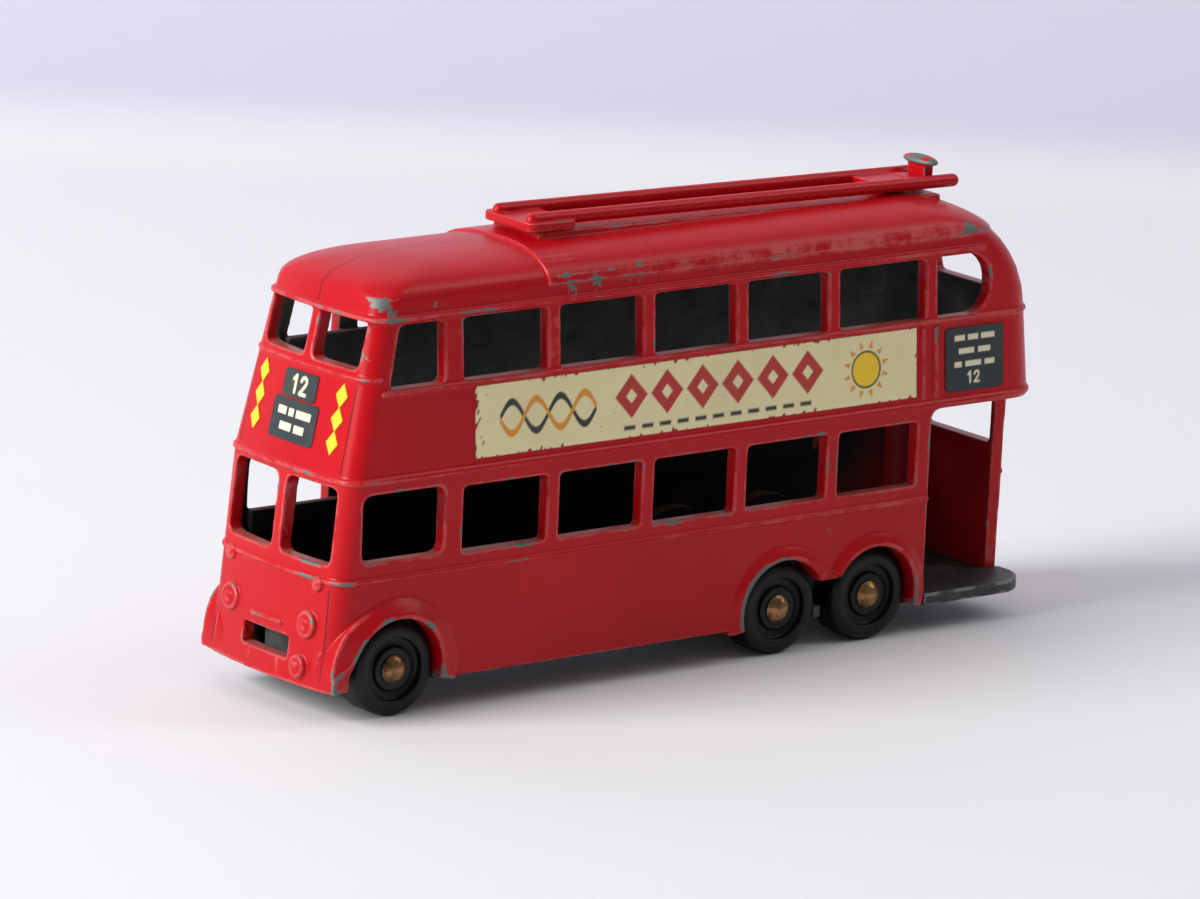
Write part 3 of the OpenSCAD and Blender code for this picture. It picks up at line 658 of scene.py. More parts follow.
# Fine grain: the noise's scale and detail, then strength and depth
def grain(tree, place, scale, detail, strength, depth):
    return bumpNormal(tree, noise(tree, place, scale, detail), strength, depth)


# Colour, roughness and grain of a plain surface
def surface(tree, shader, place, look, colour, extra=None):
    setInputs(tree, shader, {"Base Color": colour, "Roughness": sheen(tree, place, *look["sheen"]),
                             "Normal": grain(tree, place, *look["grain"]), **(extra or {})})


def newMaterial(name):
    material = bpy.data.materials.new(name)
    material.use_nodes = True
    tree = material.node_tree
    place = addNode(tree, "TexCoord").outputs["Object"]
    return material, tree, tree.nodes["Principled BSDF"], place


def coat(obj, material):
    obj.data.materials.clear()
    obj.data.materials.append(material)


def rgb(*levels):
    shares = [level / 255 for level in levels]
    return (*(c / 12.92 if c <= 0.04045 else ((c + 0.055) / 1.055) ** 2.4 for c in shares), 1.0)


# Chips and rubs along edges: Edge and Chip are the points' values, Amount shifts how much is bare
wearLook = dict(
    coarse=(420.0, 4.0, 0.6), fine=(1900.0, 3.0, 0.6), coarseShare=0.75, fineShare=0.35, edge=(0.25, 1.1),
    edgeShare=0.42, bare=(1.09, 1.13), rub=(0.86, 1.1))


def wearGroup():
    w = wearLook
    group = bpy.data.node_groups.new("paintWear", "ShaderNodeTree")
    for name, kind in (("Edge", "Float"), ("Chip", "Float"), ("Place", "Vector"), ("Amount", "Float")):
        group.interface.new_socket(name, in_out="INPUT", socket_type="NodeSocket" + kind)
    for name in ("Bare", "Rubbed"):
        group.interface.new_socket(name, in_out="OUTPUT", socket_type="NodeSocketFloat")
    source = group.nodes.new("NodeGroupInput").outputs
    sink = group.nodes.new("NodeGroupOutput")
    coarse = noise(group, source["Place"], *w["coarse"])
    fine = noise(group, source["Place"], *w["fine"])
    edge = ramp(group, source["Edge"], *w["edge"])
    patch = plus(group, times(group, coarse, w["coarseShare"]), times(group, fine, w["fineShare"]))
    level = plus(group, times(group, edge, w["edgeShare"]), plus(group, patch, source["Amount"]))
    level = plus(group, level, source["Chip"])
    setInputs(group, sink, {"Bare": ramp(group, level, *w["bare"]),
                            "Rubbed": times(group, ramp(group, level, *w["rub"]), edge)})
    return group


paintWear = wearGroup()


def useWear(tree, place, amount, extra=None):
    chip = pointValue(tree, "chip")
    chip = math2(tree, "MAXIMUM", chip, extra) if extra else chip
    made = addNode(tree, "Group", node_tree=paintWear)
    setInputs(tree, made, {"Edge": pointValue(tree, "edge"), "Chip": chip, "Place": place, "Amount": amount})
    return made.outputs["Bare"], made.outputs["Rubbed"]


def within(tree, value, low, high):
    return times(tree, math2(tree, "GREATER_THAN", value, low * mm), math2(tree, "LESS_THAN", value, high * mm))


# Fine dark lines left by the mould on the roof's crown, down the front and across the roof
mould = dict(
    crownHalf=0.055, crownX=(13.8, 31), crownZ=(29.5, 40), frontY=(6.75, 6.86), frontLean=-0.035, frontX=(27.5, 40),
    frontZ=((3.2, 9.9), (18.2, 24.4)), acrossX=(3.55, 3.65), acrossZ=(29.4, 40), acrossShare=0.5)


def mouldLines(tree, place):
    axis = axes(tree, place)
    off = math2(tree, "ABSOLUTE", axis["Y"])
    crown = times(tree, within(tree, off, -1, mould["crownHalf"]), within(tree, axis["X"], *mould["crownX"]),
                  within(tree, axis["Z"], *mould["crownZ"]))
    slope = math2(tree, "SUBTRACT", off, times(tree, axis["Z"], mould["frontLean"]))
    decks = plus(tree, *(within(tree, axis["Z"], *span) for span in mould["frontZ"]))
    front = times(tree, within(tree, slope, *mould["frontY"]), within(tree, axis["X"], *mould["frontX"]), decks)
    across = times(tree, within(tree, axis["X"], *mould["acrossX"]), within(tree, axis["Z"], *mould["acrossZ"]),
                   mould["acrossShare"])
    return math2(tree, "MAXIMUM", math2(tree, "MAXIMUM", crown, front), across)


# Knocks on the plain faces of the body: x, y, z, reach, strength
knocks = [
    (28.4, 6.0, 30.3, 0.9, 0.62), (27.6, 6.65, 29.6, 0.7, 0.55), (12.3, 6.65, 31.0, 0.42, 0.62),
    (11.6, 6.85, 29.9, 0.55, 0.62), (9.3, 6.75, 29.95, 0.75, 0.7), (7.9, 6.6, 31.1, 0.32, 0.62),
    (6.9, 6.75, 29.95, 0.55, 0.62), (5.7, 6.75, 30.0, 0.6, 0.62), (5.4, 6.6, 31.1, 0.3, 0.6),
    (23.6, 6.7, 30.0, 0.45, 0.6), (-25.8, 6.8, 30.7, 0.9, 0.66), (-27.7, 6.4, 30.5, 0.6, 0.64),
    (-27.6, 6.2, 29.7, 0.8, 0.5), (29.5, 6.2, 26.6, 0.45, 0.6), (29.0, 6.2, 28.5, 0.45, 0.6),
    (29.9, 6.5, 24.8, 0.3, 0.6), (20.0, 6.8, 29.2, 1.8, 0.32), (-8.0, 6.9, 29.2, 1.4, 0.3),
    (-11.8, 7.6, 16.7, 0.42, 0.65), (-22.4, 7.4, 14.6, 0.5, 0.65), (32.2, 4.0, 10.6, 1.2, 0.35),
    (22.4, 7.6, 2.8, 0.7, 0.55), (-1.5, 7.6, 10.1, 0.22, 0.7), (-9.6, 7.6, 12.0, 0.2, 0.7),
    (-13.0, 7.6, 9.3, 0.2, 0.7), (16.0, 7.6, 11.2, 0.9, 0.4), (2.0, 7.6, 11.2, 0.9, 0.4), (20.2, 7.5, 18.2, 0.35, 0.6)]
knockEdge = dict(throw=2.2, shake=(1100.0, 4.0, 0.65), reach=(1.4, 0.3))  # throw is how far noise moves an edge


def vectorMath(tree, operation, *values):
    return addNode(tree, "VectorMath", dict(enumerate(values)), operation=operation).outputs


def knockMask(tree, place):
    throw = knockEdge["throw"] * mm
    far, near = knockEdge["reach"]
    shake = noise(tree, place, *knockEdge["shake"], "Color")
    shake = vectorMath(tree, "SUBTRACT", shake, (0.5,) * 3)["Vector"]
    shaken = vectorMath(tree, "MULTIPLY_ADD", shake, (throw,) * 3, place)["Vector"]
    total = 0.0
    for x, y, z, reach, strength in knocks:
        away = vectorMath(tree, "DISTANCE", shaken, (x * mm, y * mm, z * mm))["Value"]
        knock = addNode(tree, "MapRange", {"Value": away, "From Min": far * reach * mm,
                                                     "From Max": near * reach * mm, "To Max": strength})
        total = math2(tree, "MAXIMUM", knock.outputs["Result"], total)
    return total


# inner is near black: the painted shade inside the body, and the colour of the mould lines. rub is the pale pink of
# rubbed paint, also laid on the roof's shoulder as a painted highlight
enamel = dict(
    red=rgb(196, 12, 24), deep=rgb(168, 6, 16), rub=rgb(222, 120, 118), zinc=rgb(112, 118, 114),
    inner=rgb(17, 13, 14), dust=rgb(150, 104, 92), sheen=(0.27, 0.1, 700.0), specular=0.22, rubShare=0.34,
    lineShare=0.8, cloudScale=90.0, peelScale=1300.0, peel=0.06, chipDepth=0.5, bareRough=0.25, bareMetal=0.6,
    shadeRough=0.5, bodyWear=0.05, boomWear=0.02)
# Painted light of the body: the darkening inside is painted shade, and the pale band on the roof's shoulder is a
# painted highlight as well as rubbed paint
bodyGrimeAndLight = dict(
    upstairs=(17.5, 18.5), rubAndHighlightFoot=(29.9, 30.2), rubAndHighlightHead=(31.4, 30.7), rubAndHighlightX=(14.0, -6.0), rubShare=0.52,
    rub=(520.0, 6.0, 0.78, 0.4, 0.6), insideShadeAndZinc=(240.0, 5.0, 0.65), paintedShade=(0.45, 1.1), shadeCloud=0.3, dustTop=28.9,
    dustFacing=(0.72, 0.95), dustShare=0.5)


def levelRamp(tree, value, span):
    return ramp(tree, value, span[0] * mm, span[1] * mm)


# The body's painted light and grime: painted shade inside the body, near black with the casting's zinc in patches
# upstairs; a pale band on the shoulder under the roof that is a painted highlight and rubbed paint; and dust on the
# sills
def grimeAndLight(tree, place, colour, cloud):
    axis, g = axes(tree, place), bodyGrimeAndLight
    # painted shade: the paint darkens the deeper a point lies inside the body
    depth = plus(tree, pointValue(tree, "inside"), times(tree, cloud, g["shadeCloud"]))
    paintedShade = ramp(tree, depth, *g["paintedShade"])
    upstairs = times(tree, levelRamp(tree, axis["Z"], g["upstairs"]), noise(tree, place, *g["insideShadeAndZinc"]))
    insideShadeAndZinc = mixed(tree, upstairs, enamel["inner"], enamel["zinc"])
    colour = mixed(tree, paintedShade, colour, insideShadeAndZinc)
    # painted highlight and rubbed paint: a pale band along the roof's shoulder
    shoulderRubAndHighlight = times(tree, levelRamp(tree, axis["Z"], g["rubAndHighlightFoot"]), levelRamp(tree, axis["Z"], g["rubAndHighlightHead"]),
                 levelRamp(tree, axis["X"], g["rubAndHighlightX"]), blotches(tree, place, *g["rub"]))
    colour = mixed(tree, times(tree, shoulderRubAndHighlight, g["rubShare"]), colour, enamel["rub"])
    facing = axes(tree, addNode(tree, "TexCoord").outputs["Normal"])["Z"]
    dust = times(tree, ramp(tree, facing, *g["dustFacing"]),
                 math2(tree, "LESS_THAN", axis["Z"], g["dustTop"] * mm), g["dustShare"])
    return mixed(tree, dust, colour, enamel["dust"]), paintedShade


def redEnamel(name, wear, onBody):
    material, tree, shader, place = newMaterial(name)
    bare, rubbed = useWear(tree, place, wear, knockMask(tree, place) if onBody else None)
    cloud = noise(tree, place, enamel["cloudScale"])
    colour = mixed(tree, cloud, enamel["red"], enamel["deep"])
    colour = mixed(tree, times(tree, rubbed, enamel["rubShare"]), colour, enamel["rub"])
    rough = sheen(tree, place, *enamel["sheen"])
    if onBody:
        # the body's painted shade and painted highlight are laid on here
        colour, paintedShade = grimeAndLight(tree, place, colour, cloud)
        bare = times(tree, bare, math2(tree, "SUBTRACT", 1.0, paintedShade))
        colour = mixed(tree, times(tree, mouldLines(tree, place), enamel["lineShare"]), colour, enamel["inner"])
        rough = plus(tree, rough, times(tree, paintedShade, enamel["shadeRough"]))
    rough = plus(tree, rough, times(tree, bare, enamel["bareRough"]))
    peel = times(tree, noise(tree, place, enamel["peelScale"], 2.0), enamel["peel"])
    height = math2(tree, "SUBTRACT", peel, times(tree, bare, enamel["chipDepth"]))
    setInputs(tree, shader, {"Base Color": mixed(tree, bare, colour, enamel["zinc"]), "Roughness": rough,
                             "Metallic": times(tree, bare, enamel["bareMetal"]),
                             "Specular IOR Level": enamel["specular"],
                             "Normal": bumpNormal(tree, height, 0.35, 0.06)})
    return material


coat(bodyShell, redEnamel("bodyEnamel", enamel["bodyWear"], True))


# Booms and base: softened copies of their solids
def copySolid(name, node):
    obj = nodes[node].copy()
    obj.data = nodes[node].data.copy()
    obj.name = obj.data.name = name
    obj.parent = None
    for key in list(obj.keys()):
        del obj[key]
    scene.collection.objects.link(obj)
    pick(obj)
    mergeMesh(weld["solid"])
    obj.data.materials.clear()
    return obj


print("booms and base")
hook = dict(
    x=-26.5, neckX=0.42, neckFootY=1.0, neckHeadY=1.02, cap=(0.8, 1.85, 0.44), capUnder=0.16, foot=33.3, head=34.62,
    oldX=(-28.0, -22.0), oldBar=((-2.6, 2.6), (33.97, 36.0)), oldPost=((-1.35, 1.35), (33.62, 36.0)))
boomChips = [
    (10.6, 2.2, 34.6, 1.2, 0.42), (-26.3, 0.0, 35.2, 1.6, 0.7), (-26.3, 1.6, 35.0, 0.8, 0.7),
    (2.0, 2.0, 34.6, 1.6, 0.3), (-3.0, -2.0, 34.5, 1.8, 0.3), (-18.0, 2.0, 34.2, 1.6, 0.26),
    (10.0, -2.0, 34.7, 1.0, 0.34), (7.0, 2.0, 34.7, 1.2, 0.32)]
booms = copySolid("boomCasting", "trolley_booms")
cutAway(booms, [block(key, hook["oldX"], *hook[key]) for key in ("oldBar", "oldPost")])
neck = block("neck", (hook["x"] - 1, hook["x"] + 1), (-1, 1), (hook["foot"], hook["head"] + 0.1))
for v in neck.data.vertices:
    end = "neckFootY" if v.co.z < (hook["foot"] + hook["head"]) / 2 * mm else "neckHeadY"
    v.co.x = (hook["x"] + copysign(hook["neckX"], v.co.x / mm - hook["x"])) * mm
    v.co.y = copysign(hook[end], v.co.y) * mm
deselectAll()
bpy.ops.mesh.primitive_uv_sphere_add(segments=32, ring_count=16, radius=mm)
hookCap = newest("hookCap")
hookCap.scale = hook["cap"]
hookCap.location = (hook["x"] * mm, 0, hook["head"] * mm)
settle(hookCap)
cutAway(hookCap, [block("underCap", (-40, -20), (-5, 5), (30, hook["head"] - hook["capUnder"]))])
joinAll(booms, [neck, hookCap])
softSkin(booms, voxel=0.085, smooth=5)
edgeAttribute(booms, gain=0.3)
chipAttribute(booms, boomChips)
coat(booms, redEnamel("boomEnamel", enamel["boomWear"], False))
finishPiece(booms, "chassis", "trolley_booms")

baseLook = dict(
    black=rgb(34, 38, 37), grey=rgb(74, 78, 74), bare=rgb(120, 122, 112), wear=-0.06, rubShare=0.4,
    cloud=(260.0, 5.0, 0.65, 0.4, 0.75), sheen=(0.4, 0.25, 900.0), grain=(1500.0, 4.0, 0.3, 0.08),
    chips=[(-31.0, 5.5, 3.0, 2.6, 0.4), (-27.0, 7.4, 2.6, 2.0, 0.3), (-23.5, 7.5, 2.6, 1.4, 0.3)])
base = copySolid("basePlate", "base_plate")
softSkin(base, voxel=0.12, smooth=2, triangles=90000)
edgeAttribute(base)
chipAttribute(base, baseLook["chips"])
material, tree, shader, place = newMaterial("baseEnamel")
bare, rubbed = useWear(tree, place, baseLook["wear"])
colour = mixed(tree, blotches(tree, place, *baseLook["cloud"]), baseLook["black"], baseLook["grey"])
colour = mixed(tree, times(tree, rubbed, baseLook["rubShare"]), colour, baseLook["grey"])
surface(tree, shader, place, baseLook, mixed(tree, bare, colour, baseLook["bare"]))
coat(base, material)
finishPiece(base, "chassis", "base_plate")

# Wheels: radius and reach from the inner face, round the section
print("wheels and axles")
wheelShape = dict(
    profile=[(0.75, 0), (3.1, 0), (3.32, 0.08), (3.45, 0.25), (3.5, 0.5), (3.5, 2.35), (3.47, 2.55), (3.38, 2.74),
        (3.22, 2.9), (3.02, 2.98), (2.85, 3.0), (2.46, 3.0), (2.38, 2.96), (2.345, 2.86), (2.33, 2.52), (2.25, 2.42),
        (2.1, 2.4), (1.75, 2.4), (1.66, 2.45), (1.63, 2.55), (1.62, 2.66), (1.56, 2.74), (1.45, 2.75), (0.85, 2.75),
        (0.75, 2.7)], sides=96)
wheelLook = dict(
    black=rgb(3, 11, 12), grey=rgb(54, 64, 64), scuff=(650.0, 6.0, 0.7, 0.6, 0.75), scuffShare=0.35,
    sheen=(0.3, 0.25, 420.0), grain=(2200.0, 3.0, 0.2, 0.05), specular=0.3)
wheelBlack, tree, shader, place = newMaterial("wheelBlack")
scuff = times(tree, blotches(tree, place, *wheelLook["scuff"]), wheelLook["scuffShare"])
surface(tree, shader, place, wheelLook, mixed(tree, scuff, wheelLook["black"], wheelLook["grey"]),
        {"Specular IOR Level": wheelLook["specular"]})
turns = np.linspace(0, 2 * pi, wheelShape["sides"], endpoint=False)
for row in ("front", "middle", "rear"):
    for hand, side in (("left", 1), ("right", -1)):
        node = f"{row}_{hand}_wheel"
        low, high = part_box(node)
        middle = (low + high) / 2 / mm
        inner = (low.y if side > 0 else high.y) / mm
        rings = [[(middle.x + radius * cos(t), inner + side * out, middle.z + radius * sin(t))
                  for t in turns] for radius, out in wheelShape["profile"]]
        wheel = wrapRings(node + "Tyre", rings, closedStack=True)
        bpy.ops.object.shade_smooth_by_angle(angle=radians(50))
        coat(wheel, wheelBlack)
        finishPiece(wheel, node, node)

axleLook = dict(
    brass=rgb(160, 122, 80), brown=rgb(74, 52, 40), tarnish=(1300.0, 4.0, 0.65, 0.4, 0.7), metal=0.9,
    rough=(0.25, 0.3), grain=(1800.0, 3.0, 0.35, 0.08))
axleBrass, tree, shader, place = newMaterial("axleBrass")
tarnish = blotches(tree, place, *axleLook["tarnish"])
polish, dull = axleLook["rough"]
setInputs(tree, shader, {"Base Color": mixed(tree, tarnish, axleLook["brass"], axleLook["brown"]),
                         "Roughness": plus(tree, polish, times(tree, tarnish, dull)),
                         "Metallic": axleLook["metal"], "Normal": grain(tree, place, *axleLook["grain"])})
for node in ("front_axle", "middle_axle", "rear_axle"):
    coat(nodes[node], axleBrass)

# Transfers: fine sheets, each with its print worked out from simple shapes. u runs along a sheet and v up it
print("transfers")
ink = dict(
    cream=rgb(240, 226, 174), slate=rgb(30, 42, 46), pale=rgb(232, 224, 192), red=rgb(186, 44, 38),
    dark=rgb(38, 50, 44), yellow=rgb(248, 206, 30), orange=rgb(226, 150, 30))


def plainSheet(u, name):
    return np.ones(u.shape + (3,)) * np.array(ink[name][:3])


def cover(distance, soft=0.07):
    return np.clip(0.5 - distance / soft, 0, 1)[..., None]


def lay(colour, gap, name):
    mask = cover(gap)
    return colour * (1 - mask) + np.array(ink[name][:3]) * mask


def beyond(u, start, end):
    return np.maximum(start - u, u - end)


def segmentGap(u, v, a, b):
    ax, ay, bx, by = *a, *b
    along = (u - ax) * (bx - ax) + (v - ay) * (by - ay)
    t = np.clip(along / max((bx - ax) ** 2 + (by - ay) ** 2, 1e-9), 0, 1)
    return np.hypot(u - ax - t * (bx - ax), v - ay - t * (by - ay))


digitStrokes = {"1": [(0.12, 0.76), (0.36, 1.0), (0.36, 0.0)],
                "2": [(0.04, 0.74), (0.12, 0.93), (0.3, 1.0), (0.5, 0.92), (0.56, 0.73), (0.47, 0.52), (0.04, 0.0),
                      (0.6, 0.0)]}
routeNumber = "12"


def digits(u, v, left, foot, height, thick):
    gap = np.full_like(u, 9.0)
    for i, mark in enumerate(routeNumber):
        strokes = [(left + (i * 0.85 + x) * height, foot + y * height) for x, y in digitStrokes[mark]]
        for a, b in zip(strokes, strokes[1:]):
            gap = np.minimum(gap, segmentGap(u, v, a, b) - thick)
    return gap


def dashes(u, v, rows, height):
    gap = np.full_like(u, 9.0)
    for middle, spans in rows:
        for a, b in spans:
            gap = np.minimum(gap, np.maximum(beyond(u, a, b), np.abs(v - middle) - height / 2))
    return gap


def cornerGap(u, v, length, height, radius):
    du = np.abs(u - length / 2) - length / 2 + radius
    dv = np.abs(v - height / 2) - height / 2 + radius
    return np.hypot(np.maximum(du, 0), np.maximum(dv, 0)) + np.minimum(np.maximum(du, dv), 0) - radius


def ragged(u, v):
    slow = 0.5 * np.sin(5.3 * u + 1.1) * np.sin(4.1 * u + 7.7 * v)
    return slow + 0.3 * np.sin(13.7 * u + 2.0 * v + 0.4) + 0.2 * np.sin(29.0 * u - 17.0 * v)


# Side panel: two crossing waves, a row of diamonds over a dashed line, and a sun
panelArt = dict(
    wave=(2.2, 11.0), waveLength=4.4, waveHeight=1.15, diamonds=6, diamondX=14.2, diamondStep=3.3,
    diamond=(1.5, 1.65), eye=(0.5, 0.55), diamondUp=0.4, line=(13.2, 31.3), lineZ=0.72, lineHalf=0.16, dashStep=1.65,
    dashHalf=0.52, sunX=36.3, sun=1.27, sunRim=1.42, rays=12, rayFoot=1.62, rayTip=2.25)


def panelPrint(u, v, length, height):
    p = panelArt
    colour = plainSheet(u, "cream")
    middle = height / 2
    for phase, name in ((0, "dark"), (pi, "orange")):
        swing = p["waveHeight"] * np.sin(2 * pi * (u - p["wave"][0]) / p["waveLength"] + phase)
        band = np.abs(v - middle - swing) / 1.35 - 0.2
        colour = lay(colour, np.maximum(band, beyond(u, *p["wave"])), name)
    for i in range(p["diamonds"]):
        du, dv = np.abs(u - p["diamondX"] - p["diamondStep"] * i), np.abs(v - middle - p["diamondUp"])
        colour = lay(colour, (du / p["diamond"][0] + dv / p["diamond"][1] - 1) * 1.1, "red")
        colour = lay(colour, (du / p["eye"][0] + dv / p["eye"][1] - 1) * 0.4, "cream")
    bars = np.abs((u - p["line"][0]) % p["dashStep"] - 0.82) - p["dashHalf"]
    bars = np.maximum(bars, np.abs(v - p["lineZ"]) - p["lineHalf"])
    colour = lay(colour, np.maximum(bars, beyond(u, *p["line"])), "dark")
    du, dv = u - p["sunX"], v - middle
    r, turn = np.hypot(du, dv), np.arctan2(dv, du)
    spoke = np.abs(((turn * p["rays"] / (2 * pi)) % 1) - 0.5) * r * 0.52
    colour = lay(colour, np.maximum(spoke - (p["rayTip"] - r) * 0.35, p["rayFoot"] - r), "orange")
    colour = lay(colour, r - p["sunRim"], "dark")
    colour = lay(colour, r - p["sun"], "yellow")
    edge = np.minimum(np.minimum(u, length - u), np.minimum(v, height - v))
    slow = ragged(u * 0.45 + 2.0, v * 0.5)
    torn = edge - 0.5 * np.clip(slow - 0.3, 0, 1) - 0.12 * np.clip(ragged(u, v) - 0.35, 0, 1)
    torn -= 0.6 * np.clip(slow + 0.1, 0, 1) * (u < 1.2)
    return colour, cover(-torn + 0.02)


# Blinds: bars for words, and the plain number. A row is its height and its bars' spans, a number its left, foot,
# height and half stroke; placeRows has shares of the sheet's height
blindArt = dict(
    sideRows=[(4.05, [(0.9, 1.9), (2.2, 3.2), (3.5, 4.8)]), (3.05, [(1.3, 2.8), (3.2, 4.4)]),
        (2.05, [(0.9, 1.6), (1.95, 3.5), (3.85, 4.8)])], sideBar=0.42, sideNumber=(2.15, 0.62, 0.8, 0.09),
    sideCorner=0.45, fray=0.06,
    placeRows=[(0.68, [(0.7, 1.7), (2.0, 2.6), (2.9, 4.6)]), (0.32, [(1.2, 2.6), (2.95, 4.1)])], placeBar=0.55,
    routeHeight=1.2, routeHalf=0.95, routeStroke=0.13, corner=0.35)


def sideBlindPrint(u, v, length, height):
    colour = lay(plainSheet(u, "slate"), dashes(u, v, blindArt["sideRows"], blindArt["sideBar"]), "pale")
    colour = lay(colour, digits(u, v, *blindArt["sideNumber"]), "pale")
    return colour, cover(cornerGap(u, v, length, height, blindArt["sideCorner"]) + blindArt["fray"] * ragged(u, v))


def routePrint(u, v, length, height):
    tall = blindArt["routeHeight"]
    number = digits(u, v, length / 2 - blindArt["routeHalf"], height / 2 - tall / 2, tall, blindArt["routeStroke"])
    return lay(plainSheet(u, "slate"), number, "pale"), cover(cornerGap(u, v, length, height, blindArt["corner"]))


def placePrint(u, v, length, height):
    rows = [(height * share, spans) for share, spans in blindArt["placeRows"]]
    colour = lay(plainSheet(u, "slate"), dashes(u, v, rows, blindArt["placeBar"]), "pale")
    return colour, cover(cornerGap(u, v, length, height, blindArt["corner"]))


# A chain of three diamonds, in shares of the sheet's height
ornamentArt = dict(middles=(0.17, 0.5, 0.83), half=0.165)


def ornamentPrint(u, v, length, height):
    gap = np.full_like(u, 9.0)
    for share in ornamentArt["middles"]:
        size = np.abs(u - length / 2) / (length * 0.5) + np.abs(v - height * share) / (height * ornamentArt["half"])
        gap = np.minimum(gap, (size - 1) * 0.5)
    return plainSheet(u, "yellow"), cover(gap)


film = dict(
    thick=0.05, off=0.07, tan=rgb(150, 120, 80), stain=(160.0, 4.0, 0.55, 0.45, 0.8), stainShare=0.14,
    brown=rgb(110, 84, 60), speck=(1500.0, 5.0, 0.7, 0.66, 0.72), speckShare=0.55, sheen=(0.32, 0.15, 600.0),
    grain=(1300.0, 2.0, 0.12, 0.05))
printedFilm, tree, shader, place = newMaterial("printedFilm")
printed = addNode(tree, "Attribute", attribute_name="print").outputs
stain = times(tree, blotches(tree, place, *film["stain"]), film["stainShare"])
speck = times(tree, blotches(tree, place, *film["speck"]), film["speckShare"])
colour = mixed(tree, stain, printed["Color"], film["tan"])
surface(tree, shader, place, film, mixed(tree, speck, colour, film["brown"]), {"Alpha": printed["Alpha"]})


# face is "left", "right" or "front", the side of the body that the sheet lies on; cell is the grid's step
def transferSheet(name, node, face, design, cell):
    low, high = (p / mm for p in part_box(node))
    length = (high.y - low.y) if face == "front" else (high.x - low.x)
    height = high.z - low.z
    columns, rows = max(int(length / cell), 8), max(int(height / cell), 8)
    deselectAll()
    bpy.ops.mesh.primitive_grid_add(x_subdivisions=columns, y_subdivisions=rows, size=1)
    sheet = newest(name)
    u, v = np.meshgrid(np.linspace(0, length, columns + 1), np.linspace(0, height, rows + 1))
    z = low.z + v
    halves = deckHalves(z)
    if face == "front":
        y = low.y + u
        x = deckFronts(z) - bodyShape["bulge"] * (y / halves) ** 2 + film["off"]
    elif face == "left":
        x, y = high.x - u, halves + film["off"]
    else:
        x, y = low.x + u, -halves - film["off"]
    sheet.data.vertices.foreach_set("co", (np.stack([x, y, z], -1) * mm).astype(np.float32).ravel())
    sheet.data.update()
    attribute = sheet.data.color_attributes.new("print", "FLOAT_COLOR", "POINT")
    inks = np.concatenate(design(u, v, length, height), -1)
    attribute.data.foreach_set("color", inks.astype(np.float32).ravel())
    applyModifier(sheet, "SOLIDIFY", thickness=film["thick"] * mm, offset=-1)
    bpy.ops.object.shade_smooth_by_angle(angle=radians(40))
    coat(sheet, printedFilm)
    finishPiece(sheet, "chassis", node)


cells = dict(panel=0.08, blind=0.06, front=0.05)
for face in ("left", "right"):
    transferSheet(face + "PanelPrint", face + "_panel_transfer", face, panelPrint, cells["panel"])
    transferSheet(face + "BlindPrint", face + "_blind_transfer", face, sideBlindPrint,
                  cells["blind"])
    transferSheet(f"front{face.title()}Ornament", f"front_{face}_ornament", "front", ornamentPrint,
                  cells["front"])
transferSheet("routePrint", "front_route_transfer", "front", routePrint, cells["front"])
transferSheet("placePrint", "front_place_transfer", "front", placePrint, cells["front"])

# Floor that sweeps up into the backdrop, square to the camera; its lengths are in m
print("floor, light and camera")
cameraFit = dict(
    target=(3.09, 0.0, 15.52), distance=600.0, swing=38.258, rise=13.431, roll=2.396, lens=244.1, sensor=36)
floorLook = dict(
    white=rgb(232, 232, 233), lavender=rgb(208, 207, 222), change=(0.0005, 0.005), near=0.9, inFront=0.3, fold=-0.165,
    curve=0.06, wide=1.0, tall=0.5, roughness=0.75)
swing, rise, roll = (radians(cameraFit[key]) for key in ("swing", "rise", "roll"))
deselectAll()
bpy.ops.mesh.primitive_grid_add(x_subdivisions=2, y_subdivisions=24, size=1)
floor = newest("floor")
profile = [(floorLook["near"], 0.0), (floorLook["inFront"], 0.0), (0.0, 0.0)]
for turn in np.radians(np.linspace(0, 90, 21)):
    profile.append((floorLook["fold"] - floorLook["curve"] * sin(turn),
                    floorLook["curve"] * (1 - cos(turn))))
profile.append((floorLook["fold"] - floorLook["curve"], floorLook["tall"]))
sweep = [(s * sin(swing) - w * cos(swing), s * cos(swing) + w * sin(swing), z)
         for s, z in profile for w in (-floorLook["wide"], 0.0, floorLook["wide"])]
floor.data.vertices.foreach_set("co", np.array(sweep, np.float32).ravel())
floor.data.update()
bpy.ops.object.shade_smooth()
paleFloor, tree, shader, place = newMaterial("paleFloor")
wall = ramp(tree, axes(tree, place)["Z"], *floorLook["change"])
behind = addNode(tree, "NewGeometry").outputs["Backfacing"]  # clear when seen from behind or below
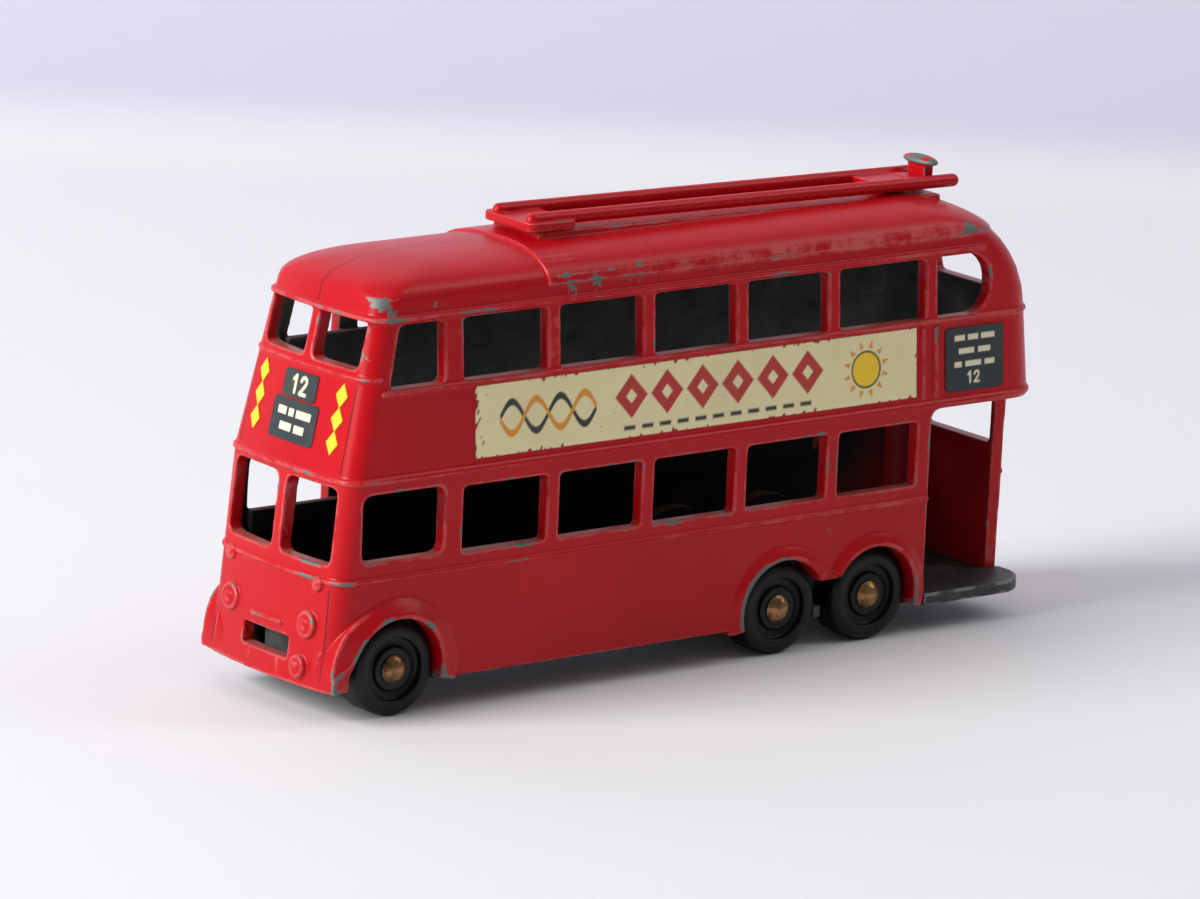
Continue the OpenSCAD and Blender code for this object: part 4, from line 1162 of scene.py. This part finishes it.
setInputs(tree, shader, {"Base Color": mixed(tree, wall, floorLook["white"], floorLook["lavender"]),
                         "Roughness": floorLook["roughness"], "Alpha": math2(tree, "SUBTRACT", 1.0, behind)})
coat(floor, paleFloor)
floor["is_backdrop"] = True

# Lamps: place, aim and size in m, power in W
lights = dict(
    keyLight=((0.58, -0.11, 0.33), (0.0, 0, 0.015), (0.34, 0.34), 5.4),
    topLight=((0.12, 0.02, 0.55), (0.04, 0, 0.015), (0.4, 0.4), 0.4),
    shoulderLight=((-0.34, 0.2, 0.38), (0, 0, 0.02), (0.16, 0.34), 0.5),
    sideLight=((-0.1, 0.6, 0.3), (0, 0, 0.015), (0.5, 0.3), 0.05))
studio = dict(colour=(0.93, 0.93, 1.0, 1), strength=0.18)
world = bpy.data.worlds.new("studio")
scene.world = world
world.use_nodes = True
setInputs(world.node_tree, world.node_tree.nodes["Background"],
          {"Color": studio["colour"], "Strength": studio["strength"]})
for name, (spot, aim, size, power) in lights.items():
    data = bpy.data.lights.new(name, "AREA")
    data.shape = "RECTANGLE"
    data.size, data.size_y = size
    data.energy = power
    lamp = bpy.data.objects.new(name, data)
    scene.collection.objects.link(lamp)
    lamp.location = spot
    lamp.rotation_mode = "QUATERNION"
    lamp.rotation_quaternion = (Vector(aim) - Vector(spot)).to_track_quat("-Z", "Y")

back = Vector((sin(swing) * cos(rise), cos(swing) * cos(rise), sin(rise)))
right = Vector((-cos(swing), sin(swing), 0))
up = back.cross(right)
rolledRight = right * cos(roll) + up * sin(roll)
rolledUp = up * cos(roll) - right * sin(roll)
cameraData = bpy.data.cameras.new("photoCamera")
cameraData.lens = cameraFit["lens"]
cameraData.sensor_width = cameraFit["sensor"]
cameraData.clip_start, cameraData.clip_end = 0.05, 20
camera = bpy.data.objects.new("photoCamera", cameraData)
scene.collection.objects.link(camera)
stand = Matrix((rolledRight, rolledUp, back)).transposed().to_4x4()
stand.translation = (Vector(cameraFit["target"]) + back * cameraFit["distance"]) * mm
camera.matrix_world = stand
scene.camera = camera

low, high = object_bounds()
print("object from", [round(v / mm, 2) for v in low], "to", [round(v / mm, 2) for v in high])
